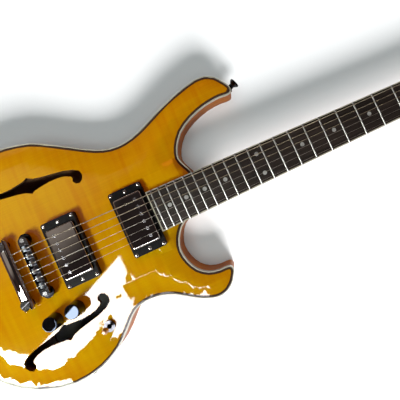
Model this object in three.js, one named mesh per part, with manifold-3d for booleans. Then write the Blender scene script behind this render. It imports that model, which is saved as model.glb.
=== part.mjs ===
// A double-cutaway semi-hollow electric guitar, lying on its back.
// X runs along the strings from the bridge line to the headstock, Y to the bass side, Z out of the top.
// The flat back lies on Z = 0. Lengths are in millimetres and angles in degrees.

import * as THREE from 'three';
import { mergeVertices } from 'three/addons/utils/BufferGeometryUtils.js';
import Module from 'manifold-3d';

const wasm = await Module();
wasm.setup();

// Fits shared by all pieces
const fitGap = 0.3;
const overrun = 2;

// Strings, from bass to treble
const scaleLength = 628.65;
const fretCount = 22;
const stringGauges = [1.24, 0.97, 0.71, 0.46, 0.36, 0.28];
const nutStringSpacing = 7;
const saddleStringSpacing = 10.4;
const saddleStringRise = 16.4;
const nutStringLift = 1.95;
const stringLevelRun = 2.4;
const windingTurns = 2.5;
const windingClearance = 0.5;

// Body
const bodyLength = 480;
const bodyWidth = 328;
const hornReach = 160.6;
const backDepth = 40;
const backWall = 5;
const backEdgeRound = 3;
const rimWall = 9;
const blockHalfWidth = 52;
const topEdgeThickness = 4;
const archRise = 6;
const archRun = 40;
const ridgeHalfWidth = 62;
const ridgeFade = 16;
const ridgeRun = 12;
const archGrid = 16;
const topPlateThickness = 5.5;
const recessInset = 19;
const recessBlockInset = 5;
const bindingThickness = 2;
const bindingHeight = 7;

// Sound holes
const soundHoleLength = 139;
const soundHoleWidth = 48;
const trebleSoundHoleTurn = 4;

// Neck and fingerboard
const neckAngle = 1;
const boardEndRise = 8.6;
const boardOverhang = 7;
const boardThickness = 6;
const boardWidthNut = 43;
const boardWidthEnd = 56.4;
const boardRadius = 305;
const boardBinding = 1.5;
const fretWidth = 2.4;
const fretHeight = 1.1;
const fretSink = 0.5;
const neckDepthNut = 20;
const neckDepthHeel = 22;
const heelDepth = 38;
const heelGap = 1;
const heelRun = 52;
const tenonWidth = 50;
const tenonBottom = 14;
const nutThickness = 5;
const nutRise = 1.6;
const nutSlotClearance = 0.15;
const trussRodRadius = 3;
const trussRodHeelGap = 36.7;
const trussRodDepth = 5.4;

// Headstock and tuners
const headPitch = 6;
const headLength = 176;
const headWidth = 78;
const headThickness = 13.5;
const rodPocketLength = 34;
const rodPocketWidth = 12;
const rodPocketDepth = 8;
const coverLength = 48;
const coverWidth = 24;
const coverThickness = 2;
const tunerStart = 44;
const tunerSpacing = 40;
const tunerAside = 24;
const tunerTaper = 4;
const postRadius = 3;
const postRise = 11;
const postHoleRadius = 0.9;
const postHoleHeight = 8.4;
const sleeveRadius = 4.8;
const washerRadius = 7;
const washerThickness = 2;
const gearRadius = 5;
const gearThickness = 3;
const housingLength = 18.4;
const housingWidth = 16;
const housingHeight = 8.6;
const housingWall = 1.2;
const wormRadius = 1.8;
const wormLength = 8;
const buttonShaftRadius = 1.4;
const buttonStandOff = 6;
const buttonLength = 14;
const buttonWidth = 17;
const buttonThickness = 6;
const buttonRound = 1.2;

// Bridge
const bridgeX = 2;
const bridgeLength = 83;
const bridgeWidth = 12.2;
const bridgeLift = 7;
const bridgeHeight = 5.6;
const bridgeFloor = 1.6;
const bridgeTroughWidth = 10.6;
const bridgePostSpacing = 74;
const bridgePostRadius = 3;
const bridgePostDepth = 22;
const bridgePostHead = 0.8;
const thumbwheelRadius = 8.5;
const thumbwheelThickness = 3;
const saddleThickness = 4.8;
const saddleWidth = 9.8;
const saddleShoulder = 1.2;
const saddleStagger = [-0.9, -0.3, 0.4, -0.6, 0, 0.6];

// Stop tailpiece
const tailpieceDistance = 29.5;
const tailpieceLength = 101;
const tailpieceWidth = 14.5;
const tailpieceHeight = 7;
const tailpieceLift = 3.6;
const tailpieceHoleRise = 3.8;
const tailpieceHoleRadius = 1.1;
const ballRadius = 2;
const ballSeatDepth = 4.4;
const studSpacing = 82;
const studNeckRadius = 3.4;
const studFlangeRadius = 6.6;
const studFlangeThickness = 1.6;
const studBushRadius = 5.5;
const studBushDepth = 18;

// Pickups
const neckRingGap = 1.6;
const bridgePickupDistance = 48.6;
const coverLongSide = 69.5;
const coverShortSide = 38.2;
const coverCorner = 3;
const coverRound = 1.2;
const neckPickupRise = 10.3;
const bridgePickupRise = 12;
const pickupHeight = 18;
const footLongSide = 82;
const footShortSide = 12;
const footThickness = 1.5;
const poleRadius = 2.4;
const poleRise = 0.6;
const poleSpacing = 10.2;
const poleOffset = 9.5;
const ringLongSide = 91.5;
const ringShortSide = 46;
const ringCorner = 3.5;
const neckRingHeight = 4.6;
const bridgeRingHeight = 8;
const ringWindowClearance = 0.5;
const cavityDepth = 29;
const cavityClearance = 1.4;

// Controls
const volumePotBlockGap = 8;
const tonePotBlockGap = 11;
const knobRadius = 10.2;
const knobTopRadius = 9.2;
const knobHeight = 17;
const knobLift = 2.6;
const knobRound = 1;
const knobShaftRadius = 3;
const potRadius = 12;
const potHeight = 9;
const potWall = 1;
const potBushRadius = 4;
const potBushRise = 2;
const switchNutRadius = 7.5;
const switchNutThickness = 2.4;
const switchBushRadius = 5.5;
const switchBodyLength = 16;
const switchBodyWidth = 12;
const switchBodyDepth = 20;
const leverRadius = 1.5;
const leverRise = 12;
const leverPivotDrop = 3;
const leverBallRadius = 3;
const leverTipRadius = 4;
const leverTipHeight = 11;
const leverSwing = 12;

// Control cavity cover, set into the back
const controlCoverLength = 118;
const controlCoverWidth = 64;
const controlCoverThickness = 2.2;
const controlCoverCorner = 14;
const controlCoverLedge = 6;
const controlCoverInset = 0.2;

// Output jack and strap buttons
const jackHeight = 20;
const jackRadius = 4.6;
const jackBoreRadius = 3.3;
const jackLength = 30;
const jackNutRadius = 6.8;
const jackNutThickness = 2.2;
const jackPlateLength = 36;
const jackPlateHeight = 26;
const jackPlateThickness = 1.8;
const jackPlateCorner = 5;
const strapHeight = 22;
const strapHornShare = 0.9;
const strapFootRadius = 6.5;
const strapNeckRadius = 3.8;
const strapHeadRadius = 7.2;
const strapLength = 13;
const strapLipThickness = 2.2;
const strapScrewRadius = 2;
const strapScrewLength = 16;

// Outline of the body: shares of the body's length from the tail, and of half its width
const outlineShares = [
  [0, 0], [0.008, -0.256], [0.035, -0.512], [0.092, -0.75], [0.175, -0.921], [0.275, -0.997],
  [0.358, -0.963], [0.421, -0.872], [0.467, -0.75], [0.5, -0.665], [0.538, -0.631], [0.579, -0.64],
  [0.619, -0.683], [0.665, -0.774], [0.704, -0.832], [0.738, -0.848], [0.769, -0.811], [0.79, -0.738],
  [0.797, -0.69], [0.792, -0.662], [0.778, -0.652], [0.76, -0.652], [0.729, -0.628], [0.704, -0.57],
  [0.688, -0.476], [0.683, -0.378], [0.692, -0.287], [0.713, -0.201], [0.738, -0.152],
  [0.775, 0.018], [0.802, 0.165],
  [0.792, 0.244], [0.783, 0.323], [0.792, 0.409], [0.819, 0.512], [0.863, 0.588], [0.915, 0.634],
  [0.958, 0.646], [0.981, 0.64], [0.995, 0.646], [1, 0.674], [0.997, 0.713], [0.985, 0.765], [0.971, 0.817],
  [0.946, 0.857], [0.915, 0.863], [0.871, 0.835], [0.813, 0.784], [0.756, 0.713], [0.708, 0.656],
  [0.663, 0.625], [0.621, 0.628], [0.579, 0.671], [0.533, 0.75], [0.483, 0.841], [0.423, 0.939],
  [0.354, 0.988], [0.275, 0.997], [0.175, 0.921], [0.092, 0.75], [0.035, 0.512], [0.008, 0.256],
];
const outlineSteps = 2;

// Places along the body, as shares of its length from the tail
const neckEndShare = 0.802;
const bassChamberFrontShare = 0.6458;
const trebleChamberFrontShare = 0.5833;
const volumeKnobShare = 0.3677;
const toneKnobShare = 0.3021;
const jackShare = 0.2833;

// Places on the body: shares of its length from the tail, and of half its width
const bassSoundHoleShares = [0.3792, 0.6128];
const trebleSoundHoleShares = [0.3125, -0.5854];
const switchShares = [0.425, -0.6829];
const controlCoverShares = [0.3292, -0.561];

// Half of a sound hole, from its inner notch round one end to its outer notch:
// shares of its length from the middle, and of its width
const soundHoleShares = [
  [0, -0.24], [0.03, -0.185], [0.1, -0.155], [0.18, -0.125], [0.27, -0.125], [0.345, -0.165],
  [0.395, -0.24], [0.402, -0.3], [0.392, -0.385], [0.41, -0.465], [0.446, -0.5], [0.482, -0.44],
  [0.5, -0.32], [0.489, -0.18], [0.432, -0.075], [0.345, 0], [0.237, 0.05], [0.13, 0.095],
  [0.058, 0.145], [0.03, 0.19],
];

// Half of the headstock: shares of its length from the nut, and of half its width
const headShares = [
  [0, 0.55], [0.07, 0.6], [0.15, 0.86], [0.25, 1], [0.4, 0.97], [0.57, 0.9], [0.74, 0.8],
  [0.88, 0.64], [0.965, 0.36],
];

// Half of the truss rod cover: shares of its length, and of half its width
const rodCoverShares = [
  [0, 0.62], [0.2, 0.66], [0.42, 0.95], [0.62, 1], [0.84, 0.66],
];

// Counts
const roundSides = 16;
const smallSides = 10;
const poleSides = 8;
const stringSides = 5;
const windingSteps = 8;
const neckSectionSteps = 10;
const boardArcSteps = 3;

const radians = THREE.MathUtils.degToRad;
const wood = (color, roughness) => new THREE.MeshStandardMaterial({ color, roughness, metalness: 0 });
const metal = (color, roughness) => new THREE.MeshStandardMaterial({ color, roughness, metalness: 1 });
const maple = wood(0xd9971c, 0.25);
const mahogany = wood(0x8a4a1e, 0.35);
const rosewood = wood(0x2e2629, 0.6);
const ivoroid = wood(0xe9e2cf, 0.4);
const bone = wood(0xe6dfc8, 0.4);
const blackPlastic = wood(0x141416, 0.3);
const chrome = metal(0xc9cacc, 0.15);
const brushedSteel = metal(0x9a9b9d, 0.35);
const bronze = metal(0xb9a98a, 0.4);

// Turns a geometry's triangles into a solid, with its faces pointing out
function solid(geometry) {
  const bare = geometry.clone();
  bare.deleteAttribute('normal');
  bare.deleteAttribute('uv');
  const merged = mergeVertices(bare);
  const vertProperties = new Float32Array(merged.attributes.position.array);
  const triVerts = new Uint32Array(merged.index.array);
  if (signedVolume(vertProperties, triVerts) < 0) {
    for (let i = 0; i < triVerts.length; i += 3) {
      [triVerts[i], triVerts[i + 1]] = [triVerts[i + 1], triVerts[i]];
    }
  }
  return new wasm.Manifold(new wasm.Mesh({ numProp: 3, vertProperties, triVerts }));
}

function signedVolume(vertices, triangles) {
  const corner = (i) => new THREE.Vector3().fromArray(vertices, triangles[i] * 3);
  let volume = 0;
  for (let i = 0; i < triangles.length; i += 3) {
    volume += corner(i).dot(corner(i + 1).cross(corner(i + 2)));
  }
  return volume;
}

function geometryOf(manifold) {
  const mesh = manifold.getMesh();
  const geometry = new THREE.BufferGeometry();
  const positions = new Float32Array(mesh.vertProperties);
  geometry.setAttribute('position', new THREE.BufferAttribute(positions, 3));
  geometry.setIndex(new THREE.BufferAttribute(new Uint32Array(mesh.triVerts), 1));
  geometry.computeVertexNormals();
  return geometry;
}

// Adds one named piece to a group
function piece(group, name, shape, material) {
  const geometry = shape.isBufferGeometry ? shape : geometryOf(shape);
  const mesh = new THREE.Mesh(geometry, material);
  mesh.name = name;
  group.add(mesh);
  return mesh;
}

function moved(geometry, x, y, z) {
  return geometry.translate(x, y, z);
}

// A box between two corners
function block(x0, x1, y0, y1, z0, z1) {
  const box = new THREE.BoxGeometry(x1 - x0, y1 - y0, z1 - z0);
  return solid(moved(box, (x0 + x1) / 2, (y0 + y1) / 2, (z0 + z1) / 2));
}

// An upright cylinder
function rod(radius, z0, z1, x = 0, y = 0, sides = roundSides) {
  const cylinder = new THREE.CylinderGeometry(radius, radius, z1 - z0, sides).rotateX(Math.PI / 2);
  return solid(moved(cylinder, x, y, (z0 + z1) / 2));
}

// A cylinder lying along X
function rodAlongX(radius, x0, x1, y, z, sides = smallSides) {
  const cylinder = new THREE.CylinderGeometry(radius, radius, x1 - x0, sides).rotateZ(Math.PI / 2);
  return solid(moved(cylinder, (x0 + x1) / 2, y, z));
}

// A cylinder lying along Y
function rodAlongY(radius, y0, y1, x, z, sides = smallSides) {
  const cylinder = new THREE.CylinderGeometry(radius, radius, Math.abs(y1 - y0), sides);
  return solid(moved(cylinder, x, (y0 + y1) / 2, z));
}

// A turned solid: the profile holds pairs of radius and height, and starts and ends on the axis
function turned(profile, sides = roundSides) {
  const points = profile.map(([radius, height]) => new THREE.Vector2(radius, height));
  return solid(new THREE.LatheGeometry(points, sides).rotateX(Math.PI / 2));
}

// A flat plate of a given outline between two heights, with an optional round on its edges
function plate(shape, z0, z1, round = 0) {
  const geometry = new THREE.ExtrudeGeometry(shape, {
    depth: z1 - z0 - 2 * round,
    bevelEnabled: round > 0,
    bevelThickness: round,
    bevelSize: round,
    bevelOffset: -round,
    bevelSegments: 1,
    curveSegments: 4,
  });
  return solid(moved(geometry, 0, 0, z0 + round));
}

function roundedRectangle(lengthX, lengthY, corner, x = 0, y = 0) {
  const halfX = lengthX / 2;
  const halfY = lengthY / 2;
  const shape = new THREE.Shape();
  shape.absarc(x + halfX - corner, y + halfY - corner, corner, 0, Math.PI / 2);
  shape.absarc(x - halfX + corner, y + halfY - corner, corner, Math.PI / 2, Math.PI);
  shape.absarc(x - halfX + corner, y - halfY + corner, corner, Math.PI, Math.PI * 1.5);
  shape.absarc(x + halfX - corner, y - halfY + corner, corner, Math.PI * 1.5, Math.PI * 2);
  return shape;
}

// A solid through rings of points, each ring with as many points as the next.
// The caps are cut into triangles as seen on the plane that the given function flattens them to.
function loft(rings, flatten) {
  const count = rings[0].length;
  const positions = rings.flat().flatMap((point) => [point.x, point.y, point.z]);
  const index = [];
  for (let ring = 0; ring < rings.length - 1; ring += 1) {
    for (let i = 0; i < count; i += 1) {
      const a = ring * count + i;
      const b = ring * count + ((i + 1) % count);
      index.push(a, b, b + count, a, b + count, a + count);
    }
  }
  const last = (rings.length - 1) * count;
  capTriangles(rings[0].map(flatten)).forEach(([a, b, c]) => index.push(a, c, b));
  capTriangles(rings.at(-1).map(flatten)).forEach(([a, b, c]) => index.push(last + a, last + b, last + c));
  const geometry = new THREE.BufferGeometry();
  geometry.setAttribute('position', new THREE.Float32BufferAttribute(positions, 3));
  geometry.setIndex(index);
  return geometry;
}

// Triangles that fill a closed ring and run the same way round as it does
function capTriangles(ring) {
  const triangles = THREE.ShapeUtils.triangulateShape(ring, []);
  const runsBack = THREE.ShapeUtils.area(ring) < 0;
  return runsBack ? triangles.map(([a, b, c]) => [a, c, b]) : triangles;
}
const fromAbove = (point) => new THREE.Vector2(point.x, point.y);
const fromAhead = (point) => new THREE.Vector2(point.y, point.z);
const fromSide = (point) => new THREE.Vector2(point.x, point.z);

// Heights that follow the body: all that stands on the top is measured from it
const rimHeight = backDepth + topEdgeThickness;
const topHeight = rimHeight + archRise;
const boardEndHeight = topHeight + boardEndRise;
const saddleStringHeight = topHeight + saddleStringRise;
const bridgeBottom = topHeight + bridgeLift;
const tailpieceBottom = topHeight + tailpieceLift;
const tailpieceHoleHeight = tailpieceBottom + tailpieceHoleRise;
const neckPickupTop = topHeight + neckPickupRise;
const bridgePickupTop = topHeight + bridgePickupRise;

// Places that follow the scale length: the fingerboard's end sets the body and its
// pickup, and the bridge line sets the hardware near it
const fretAt = (number) => scaleLength * (2 ** (-number / 12) - 1);
const boardEnd = fretAt(fretCount) - boardOverhang;
const boardEndX = scaleLength + boardEnd;
const tailX = boardEndX + hornReach - bodyLength;
const alongBody = (share) => tailX + share * bodyLength;
const onBody = ([along, aside]) => [alongBody(along), aside * bodyWidth / 2];
const heelStart = alongBody(neckEndShare) + heelGap;
const neckPickupX = boardEndX - neckRingGap - ringShortSide / 2;
const bridgePickupX = bridgeX + bridgePickupDistance;
const tailpieceX = bridgeX - tailpieceDistance;
const volumeKnobX = alongBody(volumeKnobShare);
const volumeKnobY = -blockHalfWidth - potRadius - volumePotBlockGap;
const toneKnobX = alongBody(toneKnobShare);
const toneKnobY = -blockHalfWidth - potRadius - tonePotBlockGap;
const [switchX, switchY] = onBody(switchShares);
const [controlCoverX, controlCoverY] = onBody(controlCoverShares);
const jackX = alongBody(jackShare);

// Body outline
const bodyCurve = new THREE.CatmullRomCurve3(
  outlineShares.map((shares) => new THREE.Vector3(...onBody(shares), 0)),
  true,
  'centripetal',
);
const bodyOutline = bodyCurve.getPoints(outlineShares.length * outlineSteps).slice(0, -1);

// Moves each point of a closed outline inwards
function insetOutline(points, inset) {
  return points.map((point, i) => {
    const before = points.at(i - 1);
    const after = points[(i + 1) % points.length];
    const along = after.clone().sub(before).normalize();
    return new THREE.Vector3(point.x - along.y * inset, point.y + along.x * inset, point.z);
  });
}

const shapeOf = (points) => new THREE.Shape(points.map(fromAbove));

function isInside(x, y) {
  let inside = false;
  bodyOutline.forEach((a, i) => {
    const b = bodyOutline.at(i - 1);
    const crosses = (a.y > y) !== (b.y > y);
    if (crosses && x < (b.x - a.x) * (y - a.y) / (b.y - a.y) + a.x) {
      inside = !inside;
    }
  });
  return inside;
}

const edgeLine = new THREE.Line3();
const edgePoint = new THREE.Vector3();
function edgeDistance(x, y) {
  if (!isInside(x, y)) {
    return 0;
  }
  const here = new THREE.Vector3(x, y, 0);
  let nearest = bodyLength;
  bodyOutline.forEach((a, i) => {
    edgeLine.set(bodyOutline.at(i - 1), a);
    edgeLine.closestPointToPoint(here, true, edgePoint);
    nearest = Math.min(nearest, edgePoint.distanceTo(here));
  });
  return nearest;
}

// Height of the arched top: it rises from a flat rim, and a ridge keeps the middle flat up to the neck
const ease = (share) => THREE.MathUtils.smoothstep(share, 0, 1);
function archHeight(x, y) {
  const inFromEdge = edgeDistance(x, y);
  const dome = ease(inFromEdge / archRun);
  const ridge = ease(inFromEdge / ridgeRun) * ease((ridgeHalfWidth - Math.abs(y)) / ridgeFade);
  return rimHeight + archRise * Math.max(dome, ridge);
}

// The highest point of the top under a round seat
function seatHeight(x, y, radius) {
  const around = [[0, 0], [1, 0], [-1, 0], [0, 1], [0, -1]];
  return Math.max(...around.map(([dx, dy]) => archHeight(x + dx * radius, y + dy * radius)));
}

// Hollow beside the centre block, as an outline: inside the rim, from the tail to its front end
function chamberOutline(side, front, inset, blockInset) {
  const inner = blockHalfWidth + blockInset;
  const rim = insetOutline(bodyOutline, rimWall + inset)
    .filter((point) => point.x < front - inset && point.y * side > inner);
  const first = rim.findIndex((point, i) => point.distanceTo(rim.at(i - 1)) > bodyWidth / 4);
  const ordered = first > 0 ? [...rim.slice(first), ...rim.slice(0, first)] : rim;
  const start = new THREE.Vector3(ordered[0].x, side * inner, 0);
  const end = new THREE.Vector3(ordered.at(-1).x, side * inner, 0);
  return [start, ...ordered, end];
}
const chambers = [
  { side: 1, front: alongBody(bassChamberFrontShare) },
  { side: -1, front: alongBody(trebleChamberFrontShare) },
];

// Sound hole outline about its own middle, the same after half a turn
function soundHoleShape([x, y], turn) {
  const half = soundHoleShares.map(([along, aside]) => new THREE.Vector2(
    along * soundHoleLength,
    aside * soundHoleWidth,
  ));
  const other = half.map((point) => point.clone().negate());
  const points = [...half, ...other].map((point) => {
    const mirrored = new THREE.Vector2(point.x, point.y * Math.sign(y));
    return mirrored.rotateAround(new THREE.Vector2(), radians(turn)).add(new THREE.Vector2(x, y));
  });
  return new THREE.Shape(points);
}
const soundHoles = [
  soundHoleShape(onBody(bassSoundHoleShares), 0),
  soundHoleShape(onBody(trebleSoundHoleShares), trebleSoundHoleTurn),
];

// Neck frame: its origin is on the top of the fingerboard at the nut, and X runs up the neck
const neckFrame = new THREE.Group();
neckFrame.position.set(scaleLength, 0, boardEndHeight + boardEnd * Math.sin(radians(neckAngle)));
neckFrame.rotation.y = radians(neckAngle);
const headFrame = new THREE.Group();
headFrame.position.set(nutThickness + fitGap, 0, -boardThickness);
headFrame.rotation.y = radians(headPitch);
neckFrame.add(headFrame);
neckFrame.updateMatrixWorld(true);

const boardWidthAt = (x) => THREE.MathUtils.mapLinear(x, boardEnd, 0, boardWidthEnd, boardWidthNut);
const boardCrown = (y) => -(y ** 2) / (2 * boardRadius);
const neckX = (bodyX) => (bodyX - scaleLength) / Math.cos(radians(neckAngle));

// Carved back
function makeBodyBack() {
  const chamfer = [
    { inset: backEdgeRound, height: 0 },
    { inset: 0, height: backEdgeRound },
    { inset: 0, height: backDepth },
  ];
  const rings = chamfer.map(({ inset, height }) => insetOutline(bodyOutline, inset)
    .map((point) => new THREE.Vector3(point.x, point.y, height)));
  let back = solid(loft(rings, fromAbove));
  chambers.forEach(({ side, front }) => {
    const hollow = shapeOf(chamberOutline(side, front, 0, 0));
    back = back.subtract(plate(hollow, backWall, backDepth + overrun));
  });
  return back.subtract(bindingLedge())
    .subtract(tenonPocket())
    .subtract(pickupCavity(neckPickupX))
    .subtract(pickupCavity(bridgePickupX))
    .subtract(hardwareHoles())
    .subtract(controlCoverSeat())
    .subtract(sideHoles());
}

function bindingRing(inset, outset, z0, z1) {
  const outer = plate(shapeOf(insetOutline(bodyOutline, -outset)), z0, z1);
  const inner = plate(shapeOf(insetOutline(bodyOutline, inset)), z0 - overrun, z1 + overrun);
  return outer.subtract(inner);
}

const bindingBottom = rimHeight - bindingHeight;
const bindingLedge = () => bindingRing(
  bindingThickness + fitGap,
  overrun,
  bindingBottom - fitGap,
  rimHeight + archRise + overrun,
);
const tenonStart = boardEndX + boardOverhang / 2;
const tenonPocket = () => block(
  tenonStart - fitGap,
  bodyLength,
  -tenonWidth / 2 - fitGap,
  tenonWidth / 2 + fitGap,
  tenonBottom - fitGap,
  topHeight + overrun,
);

function pickupCavity(x) {
  const halfX = coverShortSide / 2 + cavityClearance;
  const halfY = coverLongSide / 2 + cavityClearance;
  const footX = footShortSide / 2 + cavityClearance;
  const footY = footLongSide / 2 + cavityClearance;
  const floor = topHeight - cavityDepth;
  return block(x - halfX, x + halfX, -halfY, halfY, floor, topHeight + overrun)
    .add(block(x - footX, x + footX, -footY, footY, floor, topHeight + overrun));
}

function hardwareHoles() {
  const top = topHeight + overrun;
  let holes = null;
  [1, -1].forEach((side) => {
    const postHole = rod(
      bridgePostRadius + fitGap,
      topHeight - bridgePostDepth - fitGap,
      top,
      bridgeX,
      side * bridgePostSpacing / 2,
    );
    const studHole = rod(
      studBushRadius + fitGap,
      topHeight - studBushDepth - fitGap,
      top,
      tailpieceX,
      side * studSpacing / 2,
    );
    holes = holes ? holes.add(postHole).add(studHole) : postHole.add(studHole);
  });
  return holes;
}

const coverRecess = controlCoverThickness + controlCoverInset + fitGap;
function controlCoverSeat() {
  const recess = roundedRectangle(
    controlCoverLength + 2 * fitGap,
    controlCoverWidth + 2 * fitGap,
    controlCoverCorner,
    controlCoverX,
    controlCoverY,
  );
  const mouth = roundedRectangle(
    controlCoverLength - 2 * controlCoverLedge,
    controlCoverWidth - 2 * controlCoverLedge,
    controlCoverCorner - controlCoverLedge,
    controlCoverX,
    controlCoverY,
  );
  return plate(recess, -overrun, coverRecess).add(plate(mouth, -overrun, backWall + overrun));
}

const jackFace = -bodyWidth / 2 * Math.max(...outlineShares.map(([, aside]) => Math.abs(aside)));
const hornTip = outlineShares.findIndex(([along]) => along === 1);
const strapSeats = [(hornTip + strapHornShare) / outlineShares.length, 0].map((place) => {
  const seat = bodyCurve.getPoint(place);
  const along = bodyCurve.getTangent(place);
  return { x: seat.x, y: seat.y, angle: Math.atan2(-along.x, along.y) };
});

function strapPlacement({ x, y, angle }) {
  const outwards = new THREE.Matrix4().makeRotationY(Math.PI / 2);
  const turn = new THREE.Matrix4().makeRotationZ(angle).multiply(outwards);
  return turn.premultiply(new THREE.Matrix4().makeTranslation(x, y, strapHeight));
}

function sideHoles() {
  const jackHole = rodAlongY(
    jackRadius + fitGap,
    jackFace - overrun,
    jackFace + rimWall + overrun,
    jackX,
    jackHeight,
    roundSides,
  );
  return strapSeats.reduce((holes, seat) => {
    const length = strapScrewLength + fitGap + overrun;
    const hole = new THREE.CylinderGeometry(
      strapScrewRadius + fitGap,
      strapScrewRadius + fitGap,
      length,
      smallSides,
    );
    hole.rotateX(Math.PI / 2).translate(0, 0, overrun - length / 2).applyMatrix4(strapPlacement(seat));
    return holes.add(solid(hole));
  }, jackHole);
}

// Arched top
function makeTopPlate() {
  const countX = Math.round(bodyLength / archGrid);
  const countY = Math.round(bodyWidth / archGrid);
  const blank = new THREE.BoxGeometry(
    bodyLength + overrun,
    bodyWidth + overrun,
    topHeight - backDepth,
    countX,
    countY,
    1,
  );
  moved(blank, tailX + bodyLength / 2, 0, (topHeight + backDepth) / 2);
  const position = blank.attributes.position;
  for (let i = 0; i < position.count; i += 1) {
    if (position.getZ(i) > rimHeight) {
      position.setZ(i, archHeight(position.getX(i), position.getY(i)));
    }
  }
  const inside = insetOutline(bodyOutline, bindingThickness + fitGap);
  let top = solid(blank).intersect(plate(shapeOf(inside), backDepth - overrun, topHeight + overrun));
  chambers.forEach(({ side, front }) => {
    const recess = shapeOf(chamberOutline(side, front, recessInset, recessBlockInset));
    top = top.subtract(plate(recess, backDepth - overrun, topHeight - topPlateThickness));
  });
  soundHoles.forEach((shape) => {
    top = top.subtract(plate(shape, backDepth - overrun, topHeight + overrun));
  });
  const pots = [[volumeKnobX, volumeKnobY], [toneKnobX, toneKnobY]];
  pots.forEach(([x, y]) => {
    top = top.subtract(rod(potBushRadius + fitGap, backDepth - overrun, topHeight + overrun, x, y));
  });
  return top
    .subtract(rod(switchBushRadius + fitGap, backDepth - overrun, topHeight + overrun, switchX, switchY))
    .subtract(tenonPocket())
    .subtract(pickupCavity(neckPickupX))
    .subtract(pickupCavity(bridgePickupX))
    .subtract(hardwareHoles());
}

// Binding round the top edge, left open where the neck enters the body
function makeTopBinding() {
  return bindingRing(bindingThickness, 0, bindingBottom, rimHeight).subtract(tenonPocket());
}

function makeControlCover() {
  const shape = roundedRectangle(
    controlCoverLength,
    controlCoverWidth,
    controlCoverCorner,
    controlCoverX,
    controlCoverY,
  );
  return plate(shape, controlCoverInset, controlCoverInset + controlCoverThickness);
}

// Neck: a rounded shaft under the fingerboard, a deep heel, a tenon in the body and the headstock
function neckSection(x, depth, squareness) {
  const half = boardWidthAt(x) / 2;
  const top = -boardThickness - fitGap;
  const points = [];
  for (let i = 0; i <= neckSectionSteps; i += 1) {
    const angle = Math.PI * i / neckSectionSteps;
    const across = Math.sign(Math.cos(angle)) * Math.abs(Math.cos(angle)) ** (2 / squareness);
    points.push(new THREE.Vector3(x, half * across, top - depth * Math.sin(angle) ** (2 / squareness)));
  }
  return points;
}

function makeNeck() {
  const heelX = neckX(heelStart);
  const shaftShares = [
    { share: 0, depth: heelDepth, squareness: 6 },
    { share: 0.25, depth: heelDepth * 0.85, squareness: 5 },
    { share: 0.5, depth: heelDepth * 0.68, squareness: 3.5 },
    { share: 0.75, depth: neckDepthHeel * 1.06, squareness: 2.6 },
    { share: 1, depth: neckDepthHeel, squareness: 2.2 },
  ];
  const sections = shaftShares.map(({ share, depth, squareness }) => (
    neckSection(heelX + share * heelRun, depth, squareness)
  ));
  const nutEnd = nutThickness + fitGap;
  sections.push(neckSection(-nutEnd * 2, neckDepthNut, 2.2));
  sections.push(neckSection(nutEnd, neckDepthNut, 2.4));
  const shaft = loft(sections, fromAhead).applyMatrix4(neckFrame.matrixWorld);

  const halfEnd = boardWidthAt(boardEnd) / 2;
  const halfHeel = boardWidthAt(heelX) / 2;
  const heelSlab = new THREE.Shape([
    new THREE.Vector2(boardEndX, -halfEnd),
    new THREE.Vector2(heelStart + fitGap, -halfHeel),
    new THREE.Vector2(heelStart + fitGap, halfHeel),
    new THREE.Vector2(boardEndX, halfEnd),
  ]);
  const tenon = block(
    tenonStart,
    heelStart + fitGap,
    -tenonWidth / 2,
    tenonWidth / 2,
    tenonBottom,
    topHeight + fitGap + overrun / 2,
  );
  const boardPlane = new THREE.BoxGeometry(bodyLength, bodyWidth, headWidth);
  moved(boardPlane, boardEnd, 0, headWidth / 2 - boardThickness - fitGap);
  const aboveNeck = solid(boardPlane.applyMatrix4(neckFrame.matrixWorld));

  const head = plate(headShape(), -headThickness, -fitGap, 0);
  const headSolid = head.transform(headFrame.matrixWorld.elements);
  const heel = plate(heelSlab, topHeight + fitGap, boardEndHeight).add(tenon).subtract(aboveNeck);

  let neck = heel.add(solid(shaft)).add(headSolid);
  const channel = new THREE.BoxGeometry(
    trussRodLength + 2 * fitGap,
    2 * (trussRodRadius + fitGap),
    boardThickness + trussRodDepth + trussRodRadius,
  );
  const channelBottom = -boardThickness - trussRodDepth - trussRodRadius - fitGap;
  moved(channel, rodMiddle, 0, channelBottom + (boardThickness + trussRodDepth + trussRodRadius) / 2);
  neck = neck.subtract(solid(channel.applyMatrix4(neckFrame.matrixWorld)));
  const pocket = new THREE.BoxGeometry(rodPocketLength, rodPocketWidth, rodPocketDepth + overrun);
  moved(pocket, rodPocketLength / 2, 0, (overrun - rodPocketDepth) / 2);
  neck = neck.subtract(solid(pocket.applyMatrix4(headFrame.matrixWorld)));
  tuners.forEach(({ x, y }) => {
    const hole = rod(sleeveRadius + fitGap, -headThickness - overrun, overrun, x, y);
    neck = neck.subtract(hole.transform(headFrame.matrixWorld.elements));
  });
  return neck;
}

function headShape() {
  const side = (sign) => headShares.map(([along, aside]) => new THREE.Vector2(
    along * headLength,
    sign * aside * headWidth / 2,
  ));
  const tip = new THREE.Vector2(headLength, 0);
  const curve = new THREE.SplineCurve([...side(-1), tip, ...side(1).reverse()]);
  return new THREE.Shape(curve.getPoints(headShares.length * 4));
}

const trussRodStart = rodPocketLength / 4 + nutThickness;
const trussRodLength = trussRodStart - boardEnd - trussRodHeelGap;
const rodMiddle = trussRodStart - trussRodLength / 2;
const makeTrussRod = () => rodAlongX(
  trussRodRadius,
  rodMiddle - trussRodLength / 2,
  rodMiddle + trussRodLength / 2,
  0,
  -boardThickness - trussRodDepth,
);

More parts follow.
